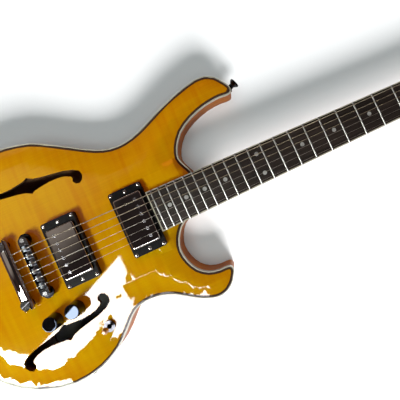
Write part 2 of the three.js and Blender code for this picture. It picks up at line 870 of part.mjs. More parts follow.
function makeRodCover() {
  const side = (sign) => rodCoverShares.map(([along, aside]) => new THREE.Vector2(
    fitGap + along * coverLength,
    sign * aside * coverWidth / 2,
  ));
  const tip = new THREE.Vector2(fitGap + coverLength, 0);
  const curve = new THREE.SplineCurve([...side(-1), tip, ...side(1).reverse()]);
  return plate(new THREE.Shape(curve.getPoints(rodCoverShares.length * 4)), 0, coverThickness);
}

// Fingerboard with its frets, all in the neck's frame
function boardSection(x, inset) {
  const half = boardWidthAt(x) / 2 - inset;
  const points = [];
  for (let i = 0; i <= boardArcSteps; i += 1) {
    const y = THREE.MathUtils.mapLinear(i, 0, boardArcSteps, -half, half);
    points.push(new THREE.Vector3(x, y, boardCrown(y)));
  }
  points.push(new THREE.Vector3(x, half, -boardThickness), new THREE.Vector3(x, -half, -boardThickness));
  return points;
}

function makeFret(number) {
  const x = fretAt(number);
  const half = boardWidthAt(x) / 2 - boardBinding - fitGap;
  const sectionShares = [[-0.5, 0], [-0.32, 1], [0.32, 1], [0.5, 0]];
  const rings = [];
  for (let i = 0; i <= boardArcSteps; i += 1) {
    const y = THREE.MathUtils.mapLinear(i, 0, boardArcSteps, -half, half);
    const low = boardCrown(y) - fretSink;
    rings.push(sectionShares.map(([across, up]) => (
      new THREE.Vector3(x + across * fretWidth, y, low + up * (fretHeight + fretSink))
    )));
  }
  return solid(loft(rings, fromSide));
}

function makeFingerboard() {
  const inset = boardBinding + fitGap;
  const sections = [boardSection(boardEnd + inset, inset), boardSection(-fitGap, inset)];
  let board = solid(loft(sections, fromAhead));
  for (let number = 1; number <= fretCount; number += 1) {
    board = board.add(makeFret(number));
  }
  return board;
}

function makeFingerboardBinding() {
  const outer = [
    [boardEnd, -1, 0], [-fitGap, -1, 0], [-fitGap, -1, boardBinding],
    [boardEnd + boardBinding, -1, boardBinding], [boardEnd + boardBinding, 1, boardBinding],
    [-fitGap, 1, boardBinding], [-fitGap, 1, 0], [boardEnd, 1, 0],
  ];
  const points = outer.map(([x, side, inset]) => new THREE.Vector2(x, side * (boardWidthAt(x) / 2 - inset)));
  return plate(new THREE.Shape(points), -boardThickness, boardCrown(boardWidthEnd / 2) - fitGap);
}

// Nut, with a slot for each string
const stringShares = [-2.5, -1.5, -0.5, 0.5, 1.5, 2.5].map((step) => -step);
const nutStringY = (i) => stringShares[i] * nutStringSpacing;
const saddleStringY = (i) => stringShares[i] * saddleStringSpacing;
function makeNut() {
  const half = boardWidthNut / 2;
  let nut = block(fitGap / 2, nutThickness, -half, half, -boardThickness, nutRise);
  stringGauges.forEach((gauge, i) => {
    const slot = gauge / 2 + nutSlotClearance;
    const y = nutStringY(i);
    const z = nutStringLift + boardCrown(y);
    nut = nut.subtract(block(-overrun, nutThickness + overrun, y - slot, y + slot, z - slot, z + overrun));
  });
  return nut;
}

// Tuners, in the headstock's frame: the bass row, then the treble row, from the nut outwards
const tuners = [1, -1].flatMap((side) => [0, 1, 2].map((row) => ({
  side,
  x: tunerStart + row * tunerSpacing,
  y: side * (tunerAside - row * tunerTaper),
})));
const housingTop = -headThickness - fitGap;
const housingBottom = housingTop - housingHeight;
const gearMiddle = (housingTop + housingBottom) / 2;
const wormX = gearRadius + wormRadius + fitGap;

function makeTunerHousing({ x, y }) {
  const x0 = x - gearRadius - fitGap - housingWall;
  const outer = block(
    x0,
    x0 + housingLength,
    y - housingWidth / 2,
    y + housingWidth / 2,
    housingBottom,
    housingTop,
  );
  const inner = block(
    x0 + housingWall,
    x0 + housingLength - housingWall,
    y - housingWidth / 2 + housingWall,
    y + housingWidth / 2 - housingWall,
    housingBottom + housingWall,
    housingTop - housingWall,
  );
  const sleeve = rod(sleeveRadius, housingTop - housingWall, fitGap + washerThickness, x, y)
    .add(rod(washerRadius, fitGap, fitGap + washerThickness, x, y, 6));
  const bore = rod(postRadius + fitGap, gearMiddle, washerThickness + fitGap + overrun, x, y);
  const shaftBore = rodAlongY(
    buttonShaftRadius + fitGap,
    y,
    y + Math.sign(y) * housingWidth,
    x + wormX,
    gearMiddle,
  );
  return outer.subtract(inner).add(sleeve).subtract(bore).subtract(shaftBore);
}

function makeTunerPost() {
  const foot = gearMiddle - gearThickness / 2;
  const post = turned([
    [0, foot], [gearRadius, foot], [gearRadius, foot + gearThickness], [postRadius, foot + gearThickness],
    [postRadius, postRise], [0, postRise],
  ], smallSides);
  return post.subtract(rodAlongX(postHoleRadius, -postRadius * 2, postRadius * 2, 0, postHoleHeight, 6));
}

// One button with its shaft and worm, about the shaft's own axis
function makeTunerButton(tuner) {
  const edge = headWidth / 2 - Math.abs(tuner.y) + buttonStandOff;
  const start = -wormLength / 2;
  const worm = rodAlongY(wormRadius, start, wormLength / 2, 0, 0);
  const shaft = rodAlongY(buttonShaftRadius, start, edge + buttonLength / 2, 0, 0);
  const outline = new THREE.Shape();
  outline.absellipse(0, edge + buttonLength / 2, buttonWidth / 2, buttonLength / 2, 0, Math.PI * 2);
  const grip = plate(outline, -buttonThickness / 2, buttonThickness / 2, buttonRound);
  return worm.add(shaft).add(grip);
}

// Strings
const bridgeSaddleX = (i) => bridgeX + saddleStagger[i];
const saddleTop = (i) => saddleStringHeight + boardCrown(saddleStringY(i));

// A thread through a list of points, with a ring of sides at each
function thread(points, radius) {
  const rings = [];
  const along = points.map((point, i) => {
    const before = points[Math.max(i - 1, 0)];
    const after = points[Math.min(i + 1, points.length - 1)];
    return after.clone().sub(before).normalize();
  });
  const up = new THREE.Vector3(0, 0, 1);
  points.forEach((point, i) => {
    const aside = up.clone().cross(along[i]).normalize();
    const above = along[i].clone().cross(aside);
    const ring = [];
    for (let side = 0; side < stringSides; side += 1) {
      const angle = 2 * Math.PI * side / stringSides;
      ring.push(point.clone()
        .addScaledVector(aside, radius * Math.cos(angle))
        .addScaledVector(above, radius * Math.sin(angle)));
    }
    rings.push(ring);
  });
  return solid(loft(rings, fromAhead));
}

// Turns round a tuner post, in the headstock's frame, from the side that the string arrives on
function windingPoints(i) {
  const tuner = tuners[stringTuner[i]];
  const radius = postRadius + fitGap + stringGauges[i] / 2;
  const pitch = stringGauges[i] + windingClearance;
  const top = washerThickness + fitGap * 2 + pitch * windingTurns + stringGauges[i];
  const steps = Math.round(windingSteps * windingTurns);
  const points = [];
  for (let step = 0; step <= steps; step += 1) {
    const turn = step / windingSteps;
    const angle = 2 * Math.PI * turn;
    points.push(new THREE.Vector3(
      tuner.x + radius * Math.sin(angle),
      tuner.y - tuner.side * radius * Math.cos(angle),
      top - pitch * turn,
    ));
  }
  return points;
}
const stringTuner = [0, 1, 2, 5, 4, 3];

function stringPoints(i) {
  const radius = stringGauges[i] / 2;
  const ySaddle = saddleStringY(i);
  const yNut = nutStringY(i);
  const nutPoint = (x) => new THREE.Vector3(x, yNut, nutStringLift + boardCrown(yNut))
    .applyMatrix4(neckFrame.matrixWorld);
  const saddle = new THREE.Vector3(bridgeSaddleX(i), ySaddle, saddleTop(i));
  const nutFront = nutPoint(0);
  const slope = nutFront.clone().sub(saddle).normalize();
  const tail = tailpieceX - tailpieceWidth / 2 + ballSeatDepth / 2;
  const mouth = new THREE.Vector3(tailpieceX + tailpieceWidth / 2, ySaddle, tailpieceHoleHeight);
  return [
    new THREE.Vector3(tail, ySaddle, tailpieceHoleHeight),
    mouth,
    saddle.clone().addScaledVector(slope, -stringLevelRun - radius),
    saddle.clone().addScaledVector(slope, stringLevelRun + radius),
    nutFront,
    nutPoint(nutThickness),
    ...windingPoints(i).map((point) => point.applyMatrix4(headFrame.matrixWorld)),
  ];
}

function makeString(i) {
  const points = stringPoints(i);
  const ballX = points[0].x;
  const ball = rodAlongX(
    ballRadius,
    ballX - ballSeatDepth / 2 + fitGap,
    ballX + ballSeatDepth / 2 - fitGap,
    saddleStringY(i),
    tailpieceHoleHeight,
    8,
  );
  return thread(points, stringGauges[i] / 2).add(ball);
}

// Least gap between turns of the windings, measured on their points
function leastWindingGap() {
  const gaps = stringGauges.map((gauge, i) => {
    const points = windingPoints(i);
    let least = Infinity;
    points.forEach((point, a) => {
      points.slice(a + Math.round(windingSteps / 2)).forEach((other) => {
        least = Math.min(least, point.distanceTo(other) - gauge);
      });
    });
    return least;
  });
  return Math.min(...gaps);
}

// Bridge
function makeBridgeBase() {
  const outline = roundedRectangle(bridgeWidth, bridgeLength, bridgeWidth / 2 - fitGap / 2, bridgeX, 0);
  const trough = block(
    bridgeX - bridgeTroughWidth / 2,
    bridgeX + bridgeTroughWidth / 2,
    -saddleStringSpacing * 3,
    saddleStringSpacing * 3,
    bridgeBottom + bridgeFloor,
    bridgeBottom + bridgeHeight + overrun,
  );
  return [1, -1].reduce((base, side) => base.subtract(rod(
    bridgePostRadius + fitGap,
    bridgeBottom - overrun,
    bridgeBottom + bridgeHeight + overrun,
    bridgeX,
    side * bridgePostSpacing / 2,
  )), plate(outline, bridgeBottom, bridgeBottom + bridgeHeight, 0).subtract(trough));
}

function makeBridgePost() {
  const wheelTop = bridgeBottom - fitGap;
  const head = bridgeBottom + bridgeHeight + bridgePostHead;
  return turned([
    [0, topHeight - bridgePostDepth],
    [bridgePostRadius, topHeight - bridgePostDepth],
    [bridgePostRadius, wheelTop - thumbwheelThickness],
    [thumbwheelRadius, wheelTop - thumbwheelThickness],
    [thumbwheelRadius, wheelTop],
    [bridgePostRadius, wheelTop],
    [bridgePostRadius, head],
    [0, head],
  ]);
}

function makeSaddle(i) {
  const x = bridgeSaddleX(i);
  const y = saddleStringY(i);
  const crest = saddleTop(i) - stringGauges[i] / 2 - fitGap;
  const foot = bridgeBottom + bridgeFloor + fitGap;
  const shoulder = bridgeBottom + bridgeHeight + saddleShoulder;
  const half = saddleThickness / 2;
  const profile = [
    [-half, foot], [half, foot], [half, shoulder],
    [stringGauges[i] / 2, crest], [-stringGauges[i] / 2, crest], [-half, shoulder],
  ];
  const rings = [-1, 1].map((side) => profile.map(([across, up]) => (
    new THREE.Vector3(x + across, y + side * saddleWidth / 2, up)
  )));
  return solid(loft(rings, fromSide));
}

// Stop tailpiece, held by a stud at each end
function makeTailpiece() {
  const low = tailpieceBottom;
  const high = tailpieceBottom + tailpieceHeight;
  const half = tailpieceWidth / 2;
  const profileShares = [
    [-1, 0.15], [-0.8, 0], [0.8, 0], [1, 0.15], [1, 0.55], [0.72, 0.88], [0.3, 1], [-0.3, 1], [-0.72, 0.88],
    [-1, 0.55],
  ];
  const rings = [-1, 1].map((side) => profileShares.map(([across, up]) => (
    new THREE.Vector3(tailpieceX + across * half, side * tailpieceLength / 2, low + up * (high - low))
  )));
  const ends = roundedRectangle(tailpieceWidth, tailpieceLength, half - fitGap / 2, tailpieceX, 0);
  let bar = solid(loft(rings, fromSide)).intersect(plate(ends, low - overrun, high + overrun));
  stringGauges.forEach((_, i) => {
    const y = saddleStringY(i);
    const back = tailpieceX - half;
    const hole = rodAlongX(tailpieceHoleRadius, back, tailpieceX + half + overrun, y, tailpieceHoleHeight, 6);
    const seat = rodAlongX(
      ballRadius + fitGap,
      back - overrun,
      back + ballSeatDepth,
      y,
      tailpieceHoleHeight,
      8,
    );
    bar = bar.subtract(hole).subtract(seat);
  });
  [1, -1].forEach((side) => {
    const y = side * studSpacing / 2;
    const slot = studNeckRadius + fitGap;
    const round = rod(slot, low - overrun, high + overrun, tailpieceX, y);
    const outer = side * tailpieceLength;
    const open = block(
      tailpieceX - slot,
      tailpieceX + slot,
      Math.min(y, outer),
      Math.max(y, outer),
      low - overrun,
      high + overrun,
    );
    bar = bar.subtract(round).subtract(open);
  });
  return bar;
}

function makeStud() {
  const bottom = topHeight - studBushDepth;
  const flange = tailpieceBottom - fitGap;
  const head = tailpieceBottom + tailpieceHeight + fitGap;
  return turned([
    [0, bottom],
    [studBushRadius, bottom],
    [studBushRadius, topHeight],
    [studNeckRadius, topHeight],
    [studNeckRadius, flange - studFlangeThickness],
    [studFlangeRadius, flange - studFlangeThickness],
    [studFlangeRadius, flange],
    [studNeckRadius, flange],
    [studNeckRadius, head],
    [studFlangeRadius, head],
    [studFlangeRadius, head + studFlangeThickness],
    [0, head + studFlangeThickness],
  ]);
}

// Pickups, and the rings that they hang in
function makePickup(x, top, poleSide) {
  const outline = roundedRectangle(coverShortSide, coverLongSide, coverCorner, x, 0);
  const foot = roundedRectangle(footShortSide, footLongSide, coverCorner, x, 0);
  const bottom = top - pickupHeight;
  let pickup = plate(outline, bottom, top, coverRound).add(plate(foot, bottom, bottom + footThickness));
  stringShares.forEach((share) => {
    const pole = rod(
      poleRadius,
      top - overrun,
      top + poleRise,
      x + poleSide * poleOffset,
      share * poleSpacing,
      poleSides,
    );
    pickup = pickup.add(pole);
  });
  return pickup;
}

function makeRing(x, height) {
  const outer = roundedRectangle(ringShortSide, ringLongSide, ringCorner, x, 0);
  const inner = roundedRectangle(
    coverShortSide + 2 * ringWindowClearance,
    coverLongSide + 2 * ringWindowClearance,
    coverCorner,
    x,
    0,
  );
  return plate(outer, topHeight, topHeight + height)
    .subtract(plate(inner, topHeight - overrun, topHeight + height + overrun));
}

// Controls
const potTop = topHeight - topPlateThickness - fitGap;
function makePot() {
  const bottom = potTop - potHeight;
  const bush = topHeight + potBushRise;
  return turned([
    [knobShaftRadius + fitGap, potTop - potWall],
    [potRadius - potWall, potTop - potWall],
    [potRadius - potWall, bottom + potWall],
    [knobShaftRadius + fitGap, bottom + potWall],
    [knobShaftRadius + fitGap, bottom],
    [potRadius, bottom],
    [potRadius, potTop],
    [potBushRadius, potTop],
    [potBushRadius, bush],
    [knobShaftRadius + fitGap, bush],
    [knobShaftRadius + fitGap, potTop - potWall],
  ]);
}

function makeKnob() {
  const bottom = topHeight + knobLift;
  const top = bottom + knobHeight;
  return turned([
    [0, potTop - potHeight + potWall],
    [knobShaftRadius, potTop - potHeight + potWall],
    [knobShaftRadius, bottom],
    [knobRadius, bottom],
    [knobTopRadius, top - knobRound],
    [knobTopRadius - knobRound, top],
    [0, top],
  ]);
}

const switchSeat = seatHeight(switchX, switchY, switchNutRadius) + fitGap;
const leverPivot = switchSeat - leverPivotDrop;
function makeSwitchBody() {
  const bodyTop = backDepth - fitGap - overrun;
  const bore = leverBallRadius + fitGap;
  return rod(switchBushRadius, bodyTop - overrun, switchSeat + switchNutThickness)
    .add(rod(switchNutRadius, switchSeat, switchSeat + switchNutThickness))
    .add(block(
      -switchBodyLength / 2,
      switchBodyLength / 2,
      -switchBodyWidth / 2,
      switchBodyWidth / 2,
      bodyTop - switchBodyDepth,
      bodyTop,
    ))
    .subtract(rod(bore, leverPivot - leverBallRadius - fitGap, switchSeat + switchNutThickness + overrun));
}

function makeSwitchLever() {
  const top = switchSeat + leverRise - leverPivot;
  const sphere = new THREE.SphereGeometry(leverBallRadius, smallSides, smallSides / 2);
  const ball = solid(sphere.rotateX(Math.PI / 2));
  const tipShares = [[0, 0], [0.6, 0], [1, 0.35], [1, 0.75], [0.7, 0.95], [0, 1]];
  const tip = turned(
    tipShares.map(([out, up]) => [out * leverTipRadius, top + up * leverTipHeight]),
    smallSides,
  );
  return ball.add(rod(leverRadius, 0, top + overrun, 0, 0, smallSides)).add(tip);
}

// Output jack in the side of the body, behind a small plate
function makeJackPlate() {
  const hole = rod(jackRadius + fitGap, -overrun, jackPlateThickness + overrun);
  const flat = roundedRectangle(jackPlateLength, jackPlateHeight, jackPlateCorner);
  return plate(flat, 0, jackPlateThickness).subtract(hole);
}

function makeJack() {
  const outside = jackPlateThickness + fitGap;
  return turned([
    [jackBoreRadius, outside + jackNutThickness],
    [jackBoreRadius, outside + jackNutThickness - jackLength],
    [jackRadius, outside + jackNutThickness - jackLength],
    [jackRadius, outside],
    [jackNutRadius, outside],
    [jackNutRadius, outside + jackNutThickness],
    [jackBoreRadius, outside + jackNutThickness],
  ]);
}

function makeStrapButton() {
  const foot = fitGap;
  const neckStart = foot + strapLength / 4;
  const lip = foot + strapLength - strapLipThickness;
  return turned([
    [0, -strapScrewLength],
    [strapScrewRadius, -strapScrewLength],
    [strapScrewRadius, foot],
    [strapFootRadius, foot],
    [strapNeckRadius, neckStart],
    [strapNeckRadius, (neckStart + lip) / 2],
    [strapHeadRadius, lip],
    [strapHeadRadius, foot + strapLength],
    [0, foot + strapLength],
  ], smallSides);
}

// The whole guitar
const guitar = new THREE.Group();
guitar.add(neckFrame);

piece(guitar, 'body_back', makeBodyBack(), mahogany);
piece(guitar, 'top_plate', makeTopPlate(), maple);
piece(guitar, 'top_binding', makeTopBinding(), ivoroid);
piece(guitar, 'control_cover', makeControlCover(), blackPlastic);

piece(guitar, 'neck', makeNeck(), mahogany);
piece(neckFrame, 'fingerboard', makeFingerboard(), rosewood);
piece(neckFrame, 'fingerboard_binding', makeFingerboardBinding(), ivoroid);
piece(neckFrame, 'nut', makeNut(), bone);
piece(neckFrame, 'truss_rod', makeTrussRod(), brushedSteel);
piece(headFrame, 'truss_rod_cover', makeRodCover(), blackPlastic);

tuners.forEach((tuner, i) => {
  piece(headFrame, `tuner_housing_${i + 1}`, makeTunerHousing(tuner), chrome);
  piece(headFrame, `tuner_post_${i + 1}`, makeTunerPost(), chrome).position.set(tuner.x, tuner.y, 0);
  const button = piece(headFrame, `tuner_button_${i + 1}`, makeTunerButton(tuner), chrome);
  button.position.set(tuner.x + wormX, tuner.y, gearMiddle);
  button.rotation.z = tuner.side > 0 ? 0 : Math.PI;
});

stringGauges.forEach((_, i) => {
  piece(guitar, `string_${stringGauges.length - i}`, makeString(i), i < 3 ? bronze : brushedSteel);
});

piece(guitar, 'bridge_base', makeBridgeBase(), chrome);
stringGauges.forEach((_, i) => {
  piece(guitar, `saddle_${stringGauges.length - i}`, makeSaddle(i), chrome);
});
piece(guitar, 'stop_tailpiece', makeTailpiece(), chrome);
[['bass', 1], ['treble', -1]].forEach(([name, side]) => {
  piece(guitar, `bridge_post_${name}`, makeBridgePost(), chrome)
    .position.set(bridgeX, side * bridgePostSpacing / 2, 0);
  piece(guitar, `tailpiece_stud_${name}`, makeStud(), chrome)
    .position.set(tailpieceX, side * studSpacing / 2, 0);
});

piece(guitar, 'neck_pickup', makePickup(neckPickupX, neckPickupTop, 1), chrome);
piece(guitar, 'neck_pickup_ring', makeRing(neckPickupX, neckRingHeight), blackPlastic);
piece(guitar, 'bridge_pickup', makePickup(bridgePickupX, bridgePickupTop, -1), chrome);
piece(guitar, 'bridge_pickup_ring', makeRing(bridgePickupX, bridgeRingHeight), blackPlastic);

[['volume', volumeKnobX, volumeKnobY], ['tone', toneKnobX, toneKnobY]].forEach(([name, x, y]) => {
  piece(guitar, `${name}_knob`, makeKnob(), blackPlastic).position.set(x, y, 0);
  piece(guitar, `${name}_pot`, makePot(), brushedSteel).position.set(x, y, 0);
});
piece(guitar, 'switch_body', makeSwitchBody(), brushedSteel).position.set(switchX, switchY, 0);
piece(guitar, 'switch_lever', makeSwitchLever(), chrome).position.set(switchX, switchY, leverPivot);

const jackPlate = piece(guitar, 'jack_plate', makeJackPlate(), chrome);
const jack = piece(guitar, 'output_jack', makeJack(), chrome);
[jackPlate, jack].forEach((mesh) => {
  mesh.position.set(jackX, jackFace - fitGap, jackHeight);
  mesh.rotation.x = Math.PI / 2;
});

['strap_button_horn', 'strap_button_tail'].forEach((name, i) => {
  const button = piece(guitar, name, makeStrapButton(), blackPlastic);
  strapPlacement(strapSeats[i]).decompose(button.position, button.quaternion, button.scale);
});

console.log(`least gap between string windings: ${leastWindingGap().toFixed(2)} mm`);

export default guitar;
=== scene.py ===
"""A semi-hollow electric guitar on its back: the looks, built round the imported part.

Lengths are in metres, and in millimetres where turned, box and shifted are called. X runs from the bridge
line to the headstock, Y to the bass side, Z out of the top.
"""
import math

import bpy
from mathutils import Matrix, Vector
from mathutils.bvhtree import BVHTree


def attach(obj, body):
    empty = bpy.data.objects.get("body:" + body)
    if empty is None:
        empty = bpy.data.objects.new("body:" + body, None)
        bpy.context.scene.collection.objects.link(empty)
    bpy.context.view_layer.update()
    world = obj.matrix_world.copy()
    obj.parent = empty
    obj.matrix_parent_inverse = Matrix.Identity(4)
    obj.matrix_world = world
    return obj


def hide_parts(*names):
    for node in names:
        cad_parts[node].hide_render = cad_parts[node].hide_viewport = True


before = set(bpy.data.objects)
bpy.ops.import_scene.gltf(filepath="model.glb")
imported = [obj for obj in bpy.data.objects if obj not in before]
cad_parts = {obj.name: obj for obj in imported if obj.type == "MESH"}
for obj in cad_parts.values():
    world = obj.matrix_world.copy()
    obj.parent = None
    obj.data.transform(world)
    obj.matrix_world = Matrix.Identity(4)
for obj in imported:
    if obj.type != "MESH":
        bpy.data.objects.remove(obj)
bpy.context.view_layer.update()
MM = 0.001


# Camera
# It looks almost straight down on the body, at the photograph's angle, with the frame's small shift. The
# curve of the tones is the plain one.
camera_data = bpy.data.cameras.new("camera")
camera = bpy.data.objects.new("camera", camera_data)
bpy.context.scene.collection.objects.link(camera)
focal_pixels = 361.7
frame_pixels = 400
centre_pixels = (243.0, 173.7)
camera_data.sensor_width = 36
camera_data.lens = focal_pixels / frame_pixels * camera_data.sensor_width
camera_data.shift_x = (frame_pixels / 2 - centre_pixels[0]) / frame_pixels
camera_data.shift_y = (centre_pixels[1] - frame_pixels / 2) / frame_pixels
camera_data.clip_start = 0.01
camera_place = (0.2835, -0.0131, 0.5344)
lean_forward, lean_sideways, roll = -0.031, 0.016, 0.4296
camera_turn = (
    Matrix.Rotation(lean_forward, 3, "X")
    @ Matrix.Rotation(lean_sideways, 3, "Y")
    @ Matrix.Rotation(roll, 3, "Z")
).transposed()
camera.matrix_world = Matrix.Translation(camera_place) @ camera_turn.to_4x4()
bpy.context.scene.camera = camera
bpy.context.scene.view_settings.view_transform = "Standard"


# Floor and light
# A plain pale floor; a main light over the tail and a bright panel that only mirrors see, both on the
# guitar alone; a wide light from the treble side, which draws the soft shadow on the floor; and a plain
# room that is dark overhead, with one lit wall, for the metal.
def deselect():
    if bpy.context.mode != "OBJECT":
        bpy.ops.object.mode_set(mode="OBJECT")
    bpy.ops.object.select_all(action="DESELECT")


def node_material(name):
    material = bpy.data.materials.new(name)
    material.use_nodes = True
    nodes = material.node_tree.nodes
    return material, nodes, material.node_tree.links, nodes["Principled BSDF"]


deselect()
floor_size = 8
floor_place = (0.2, 0, -0.0005)
bpy.ops.mesh.primitive_plane_add(size=floor_size, location=floor_place)
floor = bpy.context.object
floor.name = "floor"
floor_paint, nodes, links, shader = node_material("floor_paint")
shader.inputs["Roughness"].default_value = 0.9
shader.inputs["Specular IOR Level"].default_value = 0.1
mottle = nodes.new("ShaderNodeTexNoise")
mottle.inputs["Scale"].default_value = 3
tones = nodes.new("ShaderNodeValToRGB")
tones.color_ramp.elements[0].color = (0.88, 0.88, 0.885, 1)
tones.color_ramp.elements[1].color = (0.92, 0.92, 0.92, 1)
links.new(mottle.outputs["Fac"], tones.inputs["Fac"])
links.new(tones.outputs["Color"], shader.inputs["Base Color"])
floor.data.materials.append(floor_paint)


picture_right = Vector((0.909, -0.4165, 0))


def soft_light(name, place, target, size, power, colour):
    """A rectangular lamp at place, turned to target, with its long side across the picture."""
    light = bpy.data.lights.new(name, "AREA")
    light.shape = "RECTANGLE"
    light.size, light.size_y = size
    light.energy = power
    light.color = colour
    lamp = bpy.data.objects.new(name, light)
    bpy.context.scene.collection.objects.link(lamp)
    back = (Vector(place) - Vector(target)).normalized()
    side = picture_right.cross(back).cross(back).normalized() * -1
    turn = Matrix((side, back.cross(side), back)).transposed().to_4x4()
    lamp.matrix_world = Matrix.Translation(place) @ turn
    return lamp


def reaches(lamp, state, piece=floor):
    """Lets a lamp light only one piece, or all but it."""
    lit = bpy.data.collections.new(f"{lamp.name}_lit")
    lit.objects.link(piece)
    lit.collection_objects[0].light_linking.link_state = state
    lamp.light_linking.receiver_collection = lit


def glow(name, colour, strength):
    material = bpy.data.materials.new(name)
    material.use_nodes = True
    nodes = material.node_tree.nodes
    nodes.remove(nodes["Principled BSDF"])
    lit = nodes.new("ShaderNodeEmission")
    lit.inputs["Color"].default_value = (*colour, 1)
    lit.inputs["Strength"].default_value = strength
    material.node_tree.links.new(lit.outputs["Emission"], nodes["Material Output"].inputs["Surface"])
    return material


key_height = 1.2
key_strength = 26
key_shape = ((-0.325, -0.08), (-0.325, -0.36), (-0.25, -0.45), (-0.2, -0.55), (-0.08, -0.7),
             (-0.25, -0.79), (-0.25, -0.62), (-0.31, -0.5), (-1.15, -0.78), (-1.05, -0.41))
deselect()
bpy.ops.mesh.primitive_circle_add(vertices=len(key_shape), fill_type="NGON", location=(0, 0, 0))
key_light = bpy.context.object
key_light.name = "key_light"
for corner, place in zip(key_light.data.vertices, key_shape):
    corner.co = (*place, key_height)
key_light.data.materials.append(glow("key_glow", (0.97, 0.98, 1), key_strength))
key_light.visible_diffuse = False
main_light = soft_light("main_light", (-1.2, -0.62, 1.4), (0.1, 0, 0), (0.6, 0.6), 93, (0.94, 1, 0.8))
floor_light = soft_light("floor_light", (0.03, -2.5, 1.56), (0.25, 0.05, 0), (1.4, 1.4), 215, (1, 1, 1))
side_light = soft_light("side_light", (0.5, -1.3, 0.5), (0.2, 0, 0), (1.2, 0.6), 6, (1, 0.98, 0.95))
floor_fill = soft_light("floor_fill", (0.3, 0.1, 2.4), (0.3, 0, 0), (2.4, 2.4), 27, (0.78, 0.97, 1))
top_fill = soft_light("top_fill", (0.15, 1.3, 0.9), (0.05, 0, 0.05), (1.6, 0.8), 13, (1, 0.25, 0.02))
reaches(key_light, "EXCLUDE")
reaches(main_light, "EXCLUDE")
reaches(floor_light, "INCLUDE")
reaches(floor_fill, "INCLUDE")
reaches(side_light, "EXCLUDE")

sky = bpy.data.worlds.new("sky")
bpy.context.scene.world = sky
sky.use_nodes = True
sky_nodes = sky.node_tree.nodes
sky_links = sky.node_tree.links
heading = sky_nodes.new("ShaderNodeTexCoord")
heights = sky_nodes.new("ShaderNodeSeparateXYZ")
shades = sky_nodes.new("ShaderNodeValToRGB")
shades.color_ramp.elements[0].position = 0.15
shades.color_ramp.elements[0].color = (0.21, 0.15, 0.13, 1)
shades.color_ramp.elements[1].position = 0.87
shades.color_ramp.elements[1].color = (0.03, 0.022, 0.021, 1)
halfway = shades.color_ramp.elements.new(0.6)
halfway.color = (0.12, 0.055, 0.04, 1)
toward = sky_nodes.new("ShaderNodeVectorMath")
toward.operation = "DOT_PRODUCT"
wall_bearing = Vector((-0.5, 0.3, 0.81))
toward.inputs[1].default_value = wall_bearing.normalized()
wall = sky_nodes.new("ShaderNodeMapRange")
wall.interpolation_type = "SMOOTHSTEP"
wall.inputs["From Min"].default_value = 0.945
wall.inputs["From Max"].default_value = 0.985
lit_wall = sky_nodes.new("ShaderNodeMix")
lit_wall.data_type = "RGBA"
lit_wall.inputs["B"].default_value = (0.5, 0.43, 0.37, 1)
sky_links.new(heading.outputs["Generated"], heights.inputs["Vector"])
sky_links.new(heights.outputs["Z"], shades.inputs["Fac"])
sky_links.new(heading.outputs["Generated"], toward.inputs[0])
sky_links.new(toward.outputs["Value"], wall.inputs["Value"])
sky_links.new(wall.outputs["Result"], lit_wall.inputs["Factor"])
sky_links.new(shades.outputs["Color"], lit_wall.inputs["A"])
sky_links.new(lit_wall.outputs["Result"], sky_nodes["Background"].inputs["Color"])
sky_nodes["Background"].inputs["Strength"].default_value = 0.95


# Back, sides and centre block
# One piece of stained mahogany: a flat back with softened edges, glued sides and a solid middle, under a
# thin satin lacquer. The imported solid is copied, closed up and smoothed.
merge_gap = 0.01 * MM


def copy_of(node, name):
    """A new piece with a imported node's mesh, its corners joined and its normals outward."""
    deselect()
    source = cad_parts[node]
    piece = bpy.data.objects.new(name, source.data.copy())
    bpy.context.scene.collection.objects.link(piece)
    piece.data.materials.clear()
    for key in list(piece.data.attributes.keys()):
        if key.startswith("custom_normal"):
            piece.data.attributes.remove(piece.data.attributes[key])
    piece.select_set(True)
    bpy.context.view_layer.objects.active = piece
    bpy.ops.object.mode_set(mode="EDIT")
    bpy.ops.mesh.select_all(action="SELECT")
    bpy.ops.mesh.remove_doubles(threshold=merge_gap)
    bpy.ops.mesh.normals_make_consistent(inside=False)
    bpy.ops.object.mode_set(mode="OBJECT")
    return piece


def smooth(piece, degrees, keep_flats=True):
    deselect()
    piece.select_set(True)
    bpy.context.view_layer.objects.active = piece
    bpy.ops.object.shade_smooth_by_angle(angle=math.radians(degrees))
    if keep_flats:
        flats = piece.modifiers.new("flats", "WEIGHTED_NORMAL")
        flats.keep_sharp = True
        bpy.ops.object.modifier_apply(modifier=flats.name)


def dress(piece, material, body="root", replaced=()):
    piece.data.materials.clear()
    piece.data.materials.append(material)
    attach(piece, body)
    if replaced:
        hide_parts(*replaced)


